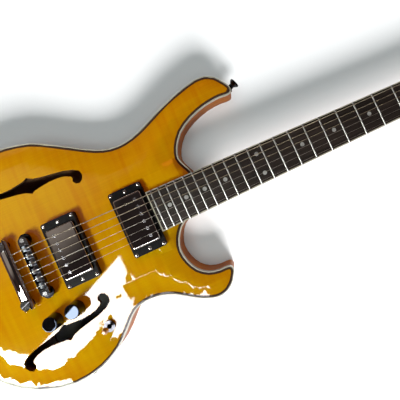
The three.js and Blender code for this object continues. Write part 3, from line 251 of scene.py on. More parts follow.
def wood(name, dark, light, grain, rough, coat, stretch=(1, 1, 1), turn=0.0, specular=0.5):
    """Straight grain along X with fine pores, under a clear coat."""
    material, nodes, links, shader = node_material(name)
    place = nodes.new("ShaderNodeTexCoord")
    lay = nodes.new("ShaderNodeMapping")
    lay.inputs["Scale"].default_value = stretch
    lay.inputs["Rotation"].default_value = (0, 0, turn)
    lines = nodes.new("ShaderNodeTexNoise")
    lines.inputs["Scale"].default_value = grain
    lines.inputs["Detail"].default_value = 8
    lines.inputs["Roughness"].default_value = 0.62
    tones = nodes.new("ShaderNodeValToRGB")
    tones.color_ramp.elements[0].position = 0.3
    tones.color_ramp.elements[0].color = (*dark, 1)
    tones.color_ramp.elements[1].position = 0.72
    tones.color_ramp.elements[1].color = (*light, 1)
    dents = nodes.new("ShaderNodeBump")
    dents.inputs["Strength"].default_value = 0.12
    dents.inputs["Distance"].default_value = 0.0002
    gloss = nodes.new("ShaderNodeMapRange")
    gloss.inputs["To Min"].default_value = rough * 0.85
    gloss.inputs["To Max"].default_value = rough * 1.2
    links.new(place.outputs["Object"], lay.inputs["Vector"])
    links.new(lay.outputs["Vector"], lines.inputs["Vector"])
    links.new(lines.outputs["Fac"], tones.inputs["Fac"])
    links.new(tones.outputs["Color"], shader.inputs["Base Color"])
    links.new(lines.outputs["Fac"], dents.inputs["Height"])
    links.new(dents.outputs["Normal"], shader.inputs["Normal"])
    links.new(lines.outputs["Fac"], gloss.inputs["Value"])
    links.new(gloss.outputs["Result"], shader.inputs["Roughness"])
    shader.inputs["Specular IOR Level"].default_value = specular
    shader.inputs["Coat Weight"].default_value = coat
    shader.inputs["Coat Roughness"].default_value = 0.08
    return material


mahogany = wood("mahogany", (0.26, 0.055, 0.004), (0.48, 0.15, 0.01), 60, 0.4, 0, (0.12, 1, 1),
                specular=0.05)
body = copy_of("body_back", "body")
smooth(body, 35)
dress(body, mahogany, replaced=["body_back"])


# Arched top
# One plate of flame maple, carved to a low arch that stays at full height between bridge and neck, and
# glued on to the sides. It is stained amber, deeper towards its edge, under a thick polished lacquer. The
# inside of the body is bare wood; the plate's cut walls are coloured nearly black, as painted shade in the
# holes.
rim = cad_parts["top_binding"].data
rim_wall = BVHTree.FromPolygons([v.co for v in rim.vertices], [p.vertices[:] for p in rim.polygons])
binding_width = 2 * MM
binding_middle = 40.5 * MM
rim_height = 44 * MM
arch_rise = 6 * MM
arch_run = 40 * MM
ridge_run = 12 * MM
ridge_half_width = 62 * MM
ridge_fade = 16 * MM
top_grid = 7
top_lowest = 43.9 * MM
back_inside = 4.2 * MM
side_wall = 4.6 * MM
purfling_width = 4.6 * MM


def ease(share):
    share = min(max(share, 0), 1)
    return share * share * (3 - 2 * share)


def edge_distance(x, y):
    return rim_wall.find_nearest(Vector((x, y, binding_middle)))[3] + binding_width


def arch_height(x, y):
    inward = edge_distance(x, y)
    hill = ease(inward / arch_run)
    ridge = ease(inward / ridge_run) * ease((ridge_half_width - abs(y)) / ridge_fade)
    return rim_height + arch_rise * max(hill, ridge)


def enter_edit(piece):
    deselect()
    piece.select_set(True)
    bpy.context.view_layer.objects.active = piece
    bpy.ops.object.mode_set(mode="EDIT")


top = copy_of("top_plate", "top")
enter_edit(top)
cuts = ((-147, 327, (1, 0, 0)), (-161, 161, (0, 1, 0)))
for first, last, across in cuts:
    for step in range(first, last, top_grid):
        bpy.ops.mesh.select_all(action="SELECT")
        bpy.ops.mesh.bisect(plane_co=Vector(across) * step * MM, plane_no=across)
bpy.ops.object.mode_set(mode="OBJECT")
inward = top.data.attributes.new("inward", "FLOAT", "POINT")
face_up = [face for face in top.data.polygons if face.normal.z > 0.5 and face.center.z > top_lowest]
for number in {number for face in face_up for number in face.vertices}:
    vertex = top.data.vertices[number]
    vertex.co.z = arch_height(vertex.co.x, vertex.co.y)
    inward.data[number].value = edge_distance(vertex.co.x, vertex.co.y)
smooth(top, 40)
reaches(top_fill, "INCLUDE", top)

flame_maple, nodes, links, shader = node_material("flame_maple")
place = nodes.new("ShaderNodeTexCoord")
across_grain = nodes.new("ShaderNodeMapping")
across_grain.inputs["Scale"].default_value = (150, 12, 12)
across_grain.inputs["Rotation"].default_value = (0, 0, 0.12)
figure = nodes.new("ShaderNodeTexNoise")
figure.inputs["Scale"].default_value = 1
figure.inputs["Detail"].default_value = 3
along_grain = nodes.new("ShaderNodeMapping")
along_grain.inputs["Scale"].default_value = (14, 620, 60)
fibres = nodes.new("ShaderNodeTexNoise")
fibres.inputs["Scale"].default_value = 1
fibres.inputs["Detail"].default_value = 4
clouds = nodes.new("ShaderNodeTexNoise")
clouds.inputs["Scale"].default_value = 9
stain = nodes.new("ShaderNodeValToRGB")
stain.color_ramp.elements[0].position = 0.38
stain.color_ramp.elements[0].color = (0.5, 0.23, 0.0006, 1)
stain.color_ramp.elements[1].position = 0.62
stain.color_ramp.elements[1].color = (0.55, 0.32, 0.0006, 1)
edge = nodes.new("ShaderNodeAttribute")
edge.attribute_name = "inward"
burst = nodes.new("ShaderNodeMapRange")
burst.inputs["From Min"].default_value = 3 * MM
burst.inputs["From Max"].default_value = 24 * MM
burst.inputs["To Min"].default_value = 0.3
burst.inputs["To Max"].default_value = 0
deeper = nodes.new("ShaderNodeMix")
deeper.data_type = "RGBA"
deeper.inputs["B"].default_value = (0.32, 0.095, 0.0004, 1)
grained = nodes.new("ShaderNodeMix")
grained.data_type = "RGBA"
grained.blend_type = "MULTIPLY"
grained.inputs["Factor"].default_value = 0.22
patches = nodes.new("ShaderNodeMath")
patches.operation = "ADD"
halved = nodes.new("ShaderNodeMath")
halved.operation = "MULTIPLY"
halved.inputs[1].default_value = 0.5
plies = nodes.new("ShaderNodeMapRange")
plies.inputs["From Min"].default_value = 2 * MM
plies.inputs["From Max"].default_value = purfling_width
purfling = nodes.new("ShaderNodeValToRGB")
purfling.color_ramp.interpolation = "CONSTANT"
purfling.color_ramp.elements[0].color = (0.03, 0.02, 0.02, 1)
purfling.color_ramp.elements[1].position = 0.3
purfling.color_ramp.elements[1].color = (0.07, 0.045, 0.025, 1)
inner_ply = purfling.color_ramp.elements.new(0.6)
inner_ply.color = (0.05, 0.02, 0.012, 1)
inside = nodes.new("ShaderNodeMath")
inside.operation = "GREATER_THAN"
inside.inputs[1].default_value = 4.3 * MM
inlaid = nodes.new("ShaderNodeMix")
inlaid.data_type = "RGBA"
links.new(place.outputs["Object"], across_grain.inputs["Vector"])
links.new(across_grain.outputs["Vector"], figure.inputs["Vector"])
links.new(place.outputs["Object"], along_grain.inputs["Vector"])
links.new(along_grain.outputs["Vector"], fibres.inputs["Vector"])
links.new(place.outputs["Object"], clouds.inputs["Vector"])
links.new(figure.outputs["Fac"], patches.inputs[0])
links.new(clouds.outputs["Fac"], patches.inputs[1])
links.new(patches.outputs["Value"], halved.inputs[0])
links.new(halved.outputs["Value"], stain.inputs["Fac"])
links.new(edge.outputs["Fac"], burst.inputs["Value"])
links.new(burst.outputs["Result"], deeper.inputs["Factor"])
links.new(stain.outputs["Color"], deeper.inputs["A"])
links.new(deeper.outputs["Result"], grained.inputs["A"])
links.new(fibres.outputs["Fac"], grained.inputs["B"])
links.new(edge.outputs["Fac"], plies.inputs["Value"])
links.new(plies.outputs["Result"], purfling.inputs["Fac"])
links.new(edge.outputs["Fac"], inside.inputs[0])
links.new(inside.outputs["Value"], inlaid.inputs["Factor"])
links.new(purfling.outputs["Color"], inlaid.inputs["A"])
links.new(grained.outputs["Result"], inlaid.inputs["B"])
links.new(inlaid.outputs["Result"], shader.inputs["Base Color"])
dents = nodes.new("ShaderNodeBump")
dents.inputs["Strength"].default_value = 0.03
dents.inputs["Distance"].default_value = 0.0001
links.new(fibres.outputs["Fac"], dents.inputs["Height"])
links.new(dents.outputs["Normal"], shader.inputs["Normal"])
sheen = nodes.new("ShaderNodeMapRange")
sheen.inputs["To Min"].default_value = 0.5
sheen.inputs["To Max"].default_value = 0.65
links.new(figure.outputs["Fac"], sheen.inputs["Value"])
links.new(sheen.outputs["Result"], shader.inputs["Roughness"])
shader.inputs["Specular IOR Level"].default_value = 0
shader.inputs["Coat Roughness"].default_value = 0.03
thickness = nodes.new("ShaderNodeMapRange")
thickness.inputs["To Min"].default_value = 0.25
links.new(inside.outputs["Value"], thickness.inputs["Value"])
links.new(thickness.outputs["Result"], shader.inputs["Coat Weight"])

# The cut walls and underside of the top are coloured nearly black: painted shade for the dark inside of the
# sound holes.
shade_dark_maple = wood("shade_dark_maple", (0.05, 0.026, 0.014), (0.11, 0.06, 0.032), 90, 0.6, 0, (0.2, 1, 1),
                  specular=0.1)
dress(top, flame_maple, replaced=["top_plate"])
top.data.materials.append(shade_dark_maple)
for face in top.data.polygons:
    face.material_index = 0 if face.normal.z > 0.5 and face.center.z > top_lowest else 1
bare_mahogany = wood("bare_mahogany", (0.3, 0.14, 0.08), (0.5, 0.26, 0.15), 70, 0.7, 0, (0.12, 1, 1),
                     specular=0.1)
body.data.materials.append(bare_mahogany)
for face in body.data.polygons:
    middle = face.center
    if middle.z > back_inside and edge_distance(middle.x, middle.y) > side_wall:
        face.material_index = 1


# Binding
# A strip of aged cream plastic, with a thin dark ply inside it, bent round the top edge of the body and
# glued into a step cut into the sides; its upper corner is scraped round.
def round_edges(piece, width, segments=2, degrees=30):
    deselect()
    piece.select_set(True)
    bpy.context.view_layer.objects.active = piece
    bevel = piece.modifiers.new("round", "BEVEL")
    bevel.width = width
    bevel.segments = segments
    bevel.limit_method = "ANGLE"
    bevel.angle_limit = math.radians(degrees)
    bevel.use_clamp_overlap = True
    bpy.ops.object.modifier_apply(modifier=bevel.name)


def plain(name, low, high, scale, rough, metallic=0, coat=0, bump=0.05, specular=0.5):
    """Cloudy tone and fine surface unevenness over one base colour."""
    material, nodes, links, shader = node_material(name)
    place = nodes.new("ShaderNodeTexCoord")
    clouds = nodes.new("ShaderNodeTexNoise")
    clouds.inputs["Scale"].default_value = scale
    clouds.inputs["Detail"].default_value = 5
    tones = nodes.new("ShaderNodeValToRGB")
    tones.color_ramp.elements[0].position = 0.32
    tones.color_ramp.elements[0].color = (*low, 1)
    tones.color_ramp.elements[1].position = 0.7
    tones.color_ramp.elements[1].color = (*high, 1)
    gloss = nodes.new("ShaderNodeMapRange")
    gloss.inputs["To Min"].default_value = rough * 0.7
    gloss.inputs["To Max"].default_value = rough * 1.35
    dents = nodes.new("ShaderNodeBump")
    dents.inputs["Strength"].default_value = bump
    dents.inputs["Distance"].default_value = 0.0001
    links.new(place.outputs["Object"], clouds.inputs["Vector"])
    links.new(clouds.outputs["Fac"], tones.inputs["Fac"])
    links.new(tones.outputs["Color"], shader.inputs["Base Color"])
    links.new(clouds.outputs["Fac"], gloss.inputs["Value"])
    links.new(gloss.outputs["Result"], shader.inputs["Roughness"])
    links.new(clouds.outputs["Fac"], dents.inputs["Height"])
    links.new(dents.outputs["Normal"], shader.inputs["Normal"])
    shader.inputs["Metallic"].default_value = metallic
    shader.inputs["Specular IOR Level"].default_value = specular
    shader.inputs["Coat Weight"].default_value = coat
    shader.inputs["Coat Roughness"].default_value = 0.05
    return material


cream_plastic = plain("cream_plastic", (0.42, 0.39, 0.34), (0.54, 0.51, 0.46), 60, 0.35, coat=0.2,
                      specular=0.2)
dark_ply_width = 1.1 * MM
binding = copy_of("top_binding", "binding")
round_edges(binding, 0.7 * MM, segments=3, degrees=50)
smooth(binding, 35)
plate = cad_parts["top_plate"].data
plate_wall = BVHTree.FromPolygons([v.co for v in plate.vertices], [p.vertices[:] for p in plate.polygons])
outward = binding.data.attributes.new("outward", "FLOAT", "POINT")
for number, vertex in enumerate(binding.data.vertices):
    outward.data[number].value = plate_wall.find_nearest(vertex.co)[3]
rim_plastic = cream_plastic.copy()
rim_plastic.name = "rim_plastic"
nodes = rim_plastic.node_tree.nodes
links = rim_plastic.node_tree.links
shader = nodes["Principled BSDF"]
cream = shader.inputs["Base Color"].links[0].from_socket
reach = nodes.new("ShaderNodeAttribute")
reach.attribute_name = "outward"
beyond = nodes.new("ShaderNodeMath")
beyond.operation = "GREATER_THAN"
beyond.inputs[1].default_value = dark_ply_width
stepped = nodes.new("ShaderNodeMix")
stepped.data_type = "RGBA"
stepped.inputs["A"].default_value = (0.03, 0.02, 0.02, 1)
links.new(reach.outputs["Fac"], beyond.inputs[0])
links.new(beyond.outputs["Value"], stepped.inputs["Factor"])
links.new(cream, stepped.inputs["B"])
links.new(stepped.outputs["Result"], shader.inputs["Base Color"])
dress(binding, rim_plastic, replaced=["top_binding"])


# Neck and headstock
# Mahogany, in one piece from the tenon to the tip of the headstock, with a rounded back and a heel, under
# the same stain and lacquer as the body. The face of the headstock has a thin black veneer.
scale_length = 628.65 * MM
nut_height = 50.5853 * MM
nut_length = 5.3 * MM
board_thickness = 6 * MM
neck_tilt = math.radians(1)
head_pitch = math.radians(6)
neck_frame = Matrix.Translation((scale_length, 0, nut_height)) @ Matrix.Rotation(neck_tilt, 4, "Y")
head_start = Matrix.Translation((nut_length, 0, -board_thickness))
head_frame = neck_frame @ head_start @ Matrix.Rotation(head_pitch, 4, "Y")
veneer_start = 3 * MM
veneer_depth = 0.5 * MM
neck_mahogany = wood("neck_mahogany", (0.16, 0.05, 0.014), (0.36, 0.13, 0.034), 50, 0.34, 0.6,
                     (0.1, 1, 1))
black_veneer = plain("black_veneer", (0.008, 0.007, 0.007), (0.016, 0.014, 0.013), 120, 0.28, coat=1)
neck = copy_of("neck", "neck_wood")
smooth(neck, 38)
dress(neck, neck_mahogany, replaced=["neck"])
neck.data.materials.append(black_veneer)
head_place = head_frame.inverted()
for face in neck.data.polygons:
    spot = head_place @ face.center
    if spot.x > veneer_start and abs(spot.z) < veneer_depth and face.normal.z > 0.9:
        face.material_index = 1


# Fingerboard
# Dark rosewood, planed to a low round across its width, with open pores and a dry sheen. It is glued on
# the neck and held in by a thin cream binding along its sides and end.
board_length = 459.24 * MM
board_radius = 305 * MM
board_width_nut = 43 * MM
board_width_end = 56.4 * MM
board_seam = 1.8 * MM
board_overhang = 0.35 * MM
board_strips = 14


def board_width(x):
    return board_width_nut + (board_width_end - board_width_nut) * -x / board_length


def crown(y):
    return math.sqrt(board_radius**2 - y**2) - board_radius


rosewood, nodes, links, shader = node_material("rosewood")
place = nodes.new("ShaderNodeTexCoord")
lengthwise = nodes.new("ShaderNodeMapping")
lengthwise.inputs["Scale"].default_value = (9, 260, 60)
pores = nodes.new("ShaderNodeTexNoise")
pores.inputs["Scale"].default_value = 1
pores.inputs["Detail"].default_value = 6
pores.inputs["Roughness"].default_value = 0.7
tones = nodes.new("ShaderNodeValToRGB")
tones.color_ramp.elements[0].position = 0.34
tones.color_ramp.elements[0].color = (0.009, 0.006, 0.006, 1)
tones.color_ramp.elements[1].position = 0.68
tones.color_ramp.elements[1].color = (0.042, 0.03, 0.029, 1)
dents = nodes.new("ShaderNodeBump")
dents.inputs["Strength"].default_value = 0.35
dents.inputs["Distance"].default_value = 0.0002
gloss = nodes.new("ShaderNodeMapRange")
gloss.inputs["To Min"].default_value = 0.62
gloss.inputs["To Max"].default_value = 0.42
links.new(place.outputs["Object"], lengthwise.inputs["Vector"])
links.new(lengthwise.outputs["Vector"], pores.inputs["Vector"])
links.new(pores.outputs["Fac"], tones.inputs["Fac"])
links.new(tones.outputs["Color"], shader.inputs["Base Color"])
links.new(pores.outputs["Fac"], dents.inputs["Height"])
links.new(dents.outputs["Normal"], shader.inputs["Normal"])
links.new(pores.outputs["Fac"], gloss.inputs["Value"])
links.new(gloss.outputs["Result"], shader.inputs["Roughness"])
shader.inputs["Specular IOR Level"].default_value = 0.15


def settle(piece, name, matrix=None):
    """Names a new piece and puts its place into its mesh."""
    if bpy.context.mode != "OBJECT":
        bpy.ops.object.mode_set(mode="OBJECT")
    piece.name = name
    piece.data.name = name
    piece.data.transform(piece.matrix_basis)
    piece.matrix_basis = Matrix.Identity(4)
    if matrix is not None:
        piece.data.transform(matrix)
    return piece


deselect()
board_middle = (-(board_length + board_overhang) / 2 + board_seam / 2, 0, -board_thickness / 2)
board_size = (board_length - board_seam - board_overhang, 1, board_thickness)
bpy.ops.mesh.primitive_cube_add(size=1, location=board_middle, scale=board_size)
board = settle(bpy.context.object, "board")
enter_edit(board)
for strip in range(1, board_strips):
    bpy.ops.mesh.select_all(action="SELECT")
    bpy.ops.mesh.bisect(plane_co=(0, strip / board_strips - 0.5, 0), plane_no=(0, 1, 0))
bpy.ops.object.mode_set(mode="OBJECT")
for vertex in board.data.vertices:
    vertex.co.y *= board_width(vertex.co.x) - 2 * board_seam
    if vertex.co.z > -board_thickness / 2:
        vertex.co.z = crown(vertex.co.y)
board.data.transform(neck_frame)
smooth(board, 30)
dress(board, rosewood, replaced=["fingerboard"])

board_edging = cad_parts["fingerboard_binding"]
board_edging.material_slots[0].material = cream_plastic


# Frets
# Twenty-two bars of nickel silver wire, bent to the round of the board, pressed into sawn slots, with
# polished crowns and ends filed flush with the binding.
fret_half_width = 1.25 * MM
fret_rise = 1.15 * MM
fret_inset = 0.6 * MM
fret_metal = plain("fret_metal", (0.34, 0.34, 0.35), (0.44, 0.44, 0.45), 200, 0.36, metallic=1, bump=0.01)


def fret_place(number):
    return scale_length * (2 ** (-number / 12) - 1)


for number in range(1, 23):
    x = fret_place(number)
    turn = (board_width(x) - fret_inset) / board_radius
    deselect()
    bpy.ops.mesh.primitive_circle_add(
        vertices=12, radius=fret_half_width, fill_type="NGON", location=(x, 0, 0),
        rotation=(math.pi / 2, 0, 0)
    )
    fret = settle(bpy.context.object, f"fret_{number}")
    enter_edit(fret)
    bpy.ops.mesh.select_all(action="SELECT")
    bpy.ops.transform.resize(value=(1, 1, fret_rise / fret_half_width))
    bpy.ops.mesh.spin(steps=10, angle=turn, center=(x, 0, -board_radius), axis=(1, 0, 0))
    bpy.ops.mesh.select_all(action="SELECT")
    bpy.ops.mesh.remove_doubles(threshold=0.000001)
    bpy.ops.mesh.normals_make_consistent(inside=False)
    bpy.ops.object.mode_set(mode="OBJECT")
    side = 1 if sum(vertex.co.y for vertex in fret.data.vertices) > 0 else -1
    hub = Vector((0, 0, -board_radius))
    back = Matrix.Rotation(side * turn / 2, 4, "X")
    fret.data.transform(neck_frame @ Matrix.Translation(hub) @ back @ Matrix.Translation(-hub))
    smooth(fret, 40)
    dress(fret, fret_metal, replaced=["fingerboard"])


# Position dots
# Discs of white pearl-like plastic let into the board halfway between the frets and sanded flush, two at
# the twelfth.
dot_radius = 2.8 * MM
dot_thickness = 1.2 * MM
dot_sunk = 1.16 * MM
pearl = plain("pearl_dots", (0.3, 0.3, 0.33), (0.46, 0.45, 0.5), 260, 0.3, coat=0.4)
dot_places = ((3, 0), (5, 0), (7, 0), (9, 0), (12, 13.6), (12, -13.6), (15, 0), (17, 0), (19, 0), (21, 0))
for number, aside in dot_places:
    x = (fret_place(number) + fret_place(number - 1)) / 2
    deselect()
    bpy.ops.mesh.primitive_circle_add(vertices=28, radius=dot_radius, fill_type="NGON")
    dot = settle(bpy.context.object, f"dot_{number}{'_treble' if aside < 0 else ''}")
    enter_edit(dot)
    bpy.ops.mesh.select_all(action="SELECT")
    bpy.ops.mesh.extrude_region_move(TRANSFORM_OT_translate={"value": (0, 0, dot_thickness)})
    bpy.ops.mesh.inset(thickness=0.25 * MM, depth=0.03 * MM)
    bpy.ops.mesh.select_all(action="SELECT")
    bpy.ops.mesh.normals_make_consistent(inside=False)
    bpy.ops.object.mode_set(mode="OBJECT")
    tilt = Matrix.Rotation(-aside * MM / board_radius, 4, "X")
    seat = Matrix.Translation((x, aside * MM, crown(aside * MM) - dot_sunk))
    dot.data.transform(neck_frame @ seat @ tilt)
    smooth(dot, 30)
    dress(dot, pearl)


# Nut
# A strip of bone with six filed slots, glued against the end of the board.
bone = plain("bone", (0.7, 0.64, 0.5), (0.82, 0.78, 0.66), 150, 0.35, coat=0.2)
nut = copy_of("nut", "nut_bone")
round_edges(nut, 0.25 * MM, degrees=40)
smooth(nut, 35)
dress(nut, bone, replaced=["nut"])


# Pickup rings
# Black moulded frames under the pickups, screwed to the top at their four corners with small nickel
# screws; a longer screw in the middle of each end holds the pickup and sets its height.
black_plastic = plain("black_plastic", (0.003, 0.003, 0.004), (0.006, 0.006, 0.008), 180, 0.4, coat=0.3,
                      bump=0.02, specular=0.05)
nickel = plain("nickel", (0.42, 0.42, 0.41), (0.56, 0.56, 0.55), 90, 0.1, metallic=1, bump=0.04)


def turned(name, rings, sides=24):
    """A piece turned on a lathe: rings are (radius, height) from its foot to its top, in millimetres."""
    deselect()
    rings = [(radius * MM, height * MM) for radius, height in rings]
    radius, height = rings[0]
    foot = (0, 0, height)
    bpy.ops.mesh.primitive_circle_add(vertices=sides, radius=radius, fill_type="NGON", location=foot)
    piece = settle(bpy.context.object, name)
    enter_edit(piece)
    bpy.ops.mesh.select_all(action="SELECT")
    for next_radius, next_height in rings[1:]:
        bpy.ops.mesh.extrude_region_move(TRANSFORM_OT_translate={"value": (0, 0, next_height - height)})
        bpy.ops.transform.resize(value=(next_radius / radius, next_radius / radius, 1))
        radius, height = next_radius, next_height
    bpy.ops.mesh.select_all(action="SELECT")
    bpy.ops.mesh.normals_make_consistent(inside=False)
    bpy.ops.object.mode_set(mode="OBJECT")
    return piece


def box(name, size, place):
    """A block with its size and the place of its middle in millimetres."""
    deselect()
    place = [length * MM for length in place]
    size = [length * MM for length in size]
    bpy.ops.mesh.primitive_cube_add(size=1, location=place, scale=size)
    return settle(bpy.context.object, name)


def cut(piece, cutter):
    """Cuts one closed shape out of another and throws the cutter away."""
    deselect()
    piece.select_set(True)
    bpy.context.view_layer.objects.active = piece
    saw = piece.modifiers.new("cut", "BOOLEAN")
    saw.operation = "DIFFERENCE"
    saw.solver = "EXACT"
    saw.object = cutter
    bpy.ops.object.modifier_apply(modifier=saw.name)
    bpy.data.meshes.remove(cutter.data)


def another(piece, name, matrix):
    """A copy of a finished piece, with its own mesh, in its own place."""
    twin = bpy.data.objects.new(name, piece.data.copy())
    bpy.context.scene.collection.objects.link(twin)
    twin.data.transform(matrix)
    return twin


def put_away(piece):
    """Deletes the piece that was only there to be copied."""
    bpy.data.meshes.remove(piece.data)


def shifted(x, y, z):
    return Matrix.Translation((x * MM, y * MM, z * MM))


pickup_places = {"neck": 144.8, "bridge": 50.6}
ring_screw = turned("ring_screw", [(2.5, -0.6), (2.5, 0.25), (2.2, 0.75), (1.5, 1.15), (0.7, 1.3)])
cut(ring_screw, box("slot", (3, 0.6, 1.4), (0, 0, 1.3)))
cut(ring_screw, box("slot", (0.6, 3, 1.4), (0, 0, 1.3)))
smooth(ring_screw, 30)
corners = ((-19.4, -42.2), (-19.4, 42.2), (19.4, -42.2), (19.4, 42.2))
for side, top_z in (("neck", 54.6), ("bridge", 58)):
    middle = pickup_places[side]
    ring = copy_of(f"{side}_pickup_ring", f"{side}_ring")
    round_edges(ring, 0.4 * MM, degrees=40)
    smooth(ring, 35)
    dress(ring, black_plastic, replaced=[f"{side}_pickup_ring"])
    for number, (x, y) in enumerate(corners, 1):
        turn = Matrix.Rotation(0.7 * number + middle, 4, "Z")
        screw = another(ring_screw, f"{side}_ring_screw_{number}", shifted(middle + x, y, top_z) @ turn)
        dress(screw, nickel)
    for end, y in (("bass", 40.6), ("treble", -40.6)):
        turn = Matrix.Rotation(0.4 + y, 4, "Z")
        screw = another(ring_screw, f"{side}_height_screw_{end}", shifted(middle, y, top_z) @ turn)
        dress(screw, nickel)
put_away(ring_screw)


# Pickups
# Each has two coils on a nickel silver base plate with a foot at each end, under a pressed and plated
# cover; six slotted pole screws stand just out of the cover, towards the board or towards the bridge.
chrome = plain("chrome", (0.44, 0.42, 0.41), (0.54, 0.52, 0.51), 45, 0.02, metallic=1, bump=0.01)
satin_steel = plain("satin_steel", (0.3, 0.3, 0.32), (0.42, 0.42, 0.44), 160, 0.22, metallic=1, bump=0.02)
cover_long = 69.5
cover_short = 38.2
cover_depth = 18
cover_corner = 3.2 * MM
cover_edge = 1.9 * MM
foot_size = (12, 82, 1.5)
pole_gap = 10.2
pole = turned("pole", [(2.4, -3), (2.4, 0.35), (2.05, 0.6)], sides=20)
cut(pole, box("slot", (6, 0.7, 0.8), (0, 0, 0.6)))
smooth(pole, 30)
for side, top_z, pole_row in (("neck", 60.3, 9.5), ("bridge", 62, -9.5)):
    middle = pickup_places[side]
    bottom_z = top_z - cover_depth
    cover_size = (cover_short, cover_long, cover_depth)
    cover = box(f"{side}_cover", cover_size, (middle, 0, (top_z + bottom_z) / 2))
    enter_edit(cover)
    bpy.ops.mesh.select_mode(type="EDGE")
    bpy.ops.mesh.select_all(action="DESELECT")
    bpy.ops.object.mode_set(mode="OBJECT")
    for edge in cover.data.edges:
        ends = [cover.data.vertices[number].co for number in edge.vertices]
        edge.select = abs(ends[0].z - ends[1].z) > 1 * MM
    bpy.ops.object.mode_set(mode="EDIT")
    bpy.ops.mesh.bevel(offset=cover_corner, segments=6, affect="EDGES")
    bpy.ops.mesh.select_all(action="DESELECT")
    bpy.ops.object.mode_set(mode="OBJECT")
    for edge in cover.data.edges:
        ends = [cover.data.vertices[number].co for number in edge.vertices]
        edge.select = all(abs(end.z - top_z * MM) < 0.01 * MM for end in ends)
    bpy.ops.object.mode_set(mode="EDIT")
    bpy.ops.mesh.bevel(offset=cover_edge, segments=5, affect="EDGES")
    bpy.ops.mesh.select_mode(type="VERT")
    bpy.ops.object.mode_set(mode="OBJECT")
    smooth(cover, 50)
    dress(cover, chrome, body=f"{side}_pickup", replaced=[f"{side}_pickup"])
    foot = box(f"{side}_foot", foot_size, (middle, 0, bottom_z + foot_size[2] / 2))
    round_edges(foot, 0.4 * MM)
    dress(foot, nickel, body=f"{side}_pickup", replaced=[f"{side}_pickup"])
    for number in range(1, 7):
        y = (number - 3.5) * pole_gap
        turn = Matrix.Rotation(0.9 * number * number, 4, "Z")
        screw = another(pole, f"{side}_pole_{number}", shifted(middle + pole_row, y, top_z) @ turn)
        dress(screw, satin_steel, body=f"{side}_pickup", replaced=[f"{side}_pickup"])
put_away(pole)


# Bridge
# A plated bar with a trough along its top, carried on two posts by knurled wheels that set its height. Six
# peaked saddles slide in the trough, each on its own slotted screw, whose head shows on the tail side.
# The bridge bar and the stud heads are coloured far darker than plated nickel: painted shade for the shaded
# trough and the dark reflections.
shade_darkened_nickel = plain("shade_darkened_nickel", (0.1, 0.1, 0.11), (0.14, 0.135, 0.14), 120, 0.12, metallic=1, bump=0.02)
# Black plating on the strap buttons and the switch; on the bridge wheels and the strings' balls the same
# near-black colour is painted shade, under the bar and behind the tailpiece.
black_nickel_and_shade = plain("black_nickel_and_shade", (0.02, 0.02, 0.022), (0.05, 0.05, 0.055), 240, 0.15, metallic=1,
                     bump=0.03)
grey_nickel = plain("grey_nickel", (0.34, 0.38, 0.45), (0.42, 0.46, 0.53), 120, 0.32, metallic=1, bump=0.02)
bridge = copy_of("bridge_base", "bridge_bar")
round_edges(bridge, 0.6 * MM, segments=3, degrees=40)
smooth(bridge, 35)
dress(bridge, shade_darkened_nickel, replaced=["bridge_base"])
string_gap = 10.4
saddle_share = 0.74
screw_z = 60.4
saddle_screw = turned("saddle_screw", [(1.25, 0), (1.25, 10)], sides=14)
screw_head = turned("screw_head", [(1.9, 0), (1.9, 0.9), (1.5, 1.3)], sides=18)
cut(screw_head, box("slot", (5, 0.6, 0.8), (0, 0, 1.3)))
smooth(saddle_screw, 30)
smooth(screw_head, 30)
along_strings = Matrix.Rotation(math.pi / 2, 4, "Y")
for number in range(1, 7):
    y = (number - 3.5) * string_gap
    saddle = copy_of(f"saddle_{number}", f"saddle_{number}_peak")
    for vertex in saddle.data.vertices:
        vertex.co.y = y * MM + (vertex.co.y - y * MM) * saddle_share
    round_edges(saddle, 0.3 * MM, degrees=25)
    smooth(saddle, 35)
    dress(saddle, grey_nickel, body=f"saddle_{number}", replaced=[f"saddle_{number}"])
    shank = another(saddle_screw, f"saddle_screw_{number}", shifted(-3.2, y, screw_z) @ along_strings)
    dress(shank, nickel)
    backwards = Matrix.Rotation(-math.pi / 2, 4, "Y") @ Matrix.Rotation(0.8 * number, 4, "Z")
    head = another(screw_head, f"saddle_screw_head_{number}", shifted(-4.05, y, screw_z) @ backwards)
    dress(head, nickel)
put_away(saddle_screw)
put_away(screw_head)

wheel_sides = 72
knurl_depth = 0.4 * MM
bridge_x = 2
wheel_foot = 53.7
wheel = turned("wheel", [(7.7, 0), (8.1, 0.35), (8.1, 2.65), (7.7, 3)], sides=wheel_sides)
enter_edit(wheel)
bpy.ops.mesh.select_mode(type="FACE")
bpy.ops.mesh.select_all(action="DESELECT")
bpy.ops.object.mode_set(mode="OBJECT")
for face in wheel.data.polygons:
    bearing = math.atan2(face.center.y, face.center.x) % (2 * math.pi)
    face.select = abs(face.normal.z) < 0.1 and int(bearing / (2 * math.pi) * wheel_sides) % 2 == 0
bpy.ops.object.mode_set(mode="EDIT")
bpy.ops.mesh.extrude_faces_move(TRANSFORM_OT_shrink_fatten={"value": -knurl_depth})
bpy.ops.mesh.select_mode(type="VERT")
bpy.ops.object.mode_set(mode="OBJECT")
smooth(wheel, 25)
post = turned("post", [(3, 28), (3, 63), (2.6, 63.4)], sides=28)
cut(post, box("slot", (8, 0.8, 1.6), (0, 0, 63.4)))
smooth(post, 30)
# The wheels are coloured near black: painted shade under the bridge bar.
for end, y in (("bass", 37), ("treble", -37)):
    turn = Matrix.Rotation(0.6 + y, 4, "Z")
    place = shifted(bridge_x, y, wheel_foot)
    dress(another(wheel, f"bridge_wheel_{end}", place), black_nickel_and_shade,
          replaced=[f"bridge_post_{end}"])
    dress(another(post, f"bridge_stem_{end}", shifted(bridge_x, y, 0) @ turn), satin_steel,
          replaced=[f"bridge_post_{end}"])
put_away(wheel)
put_away(post)


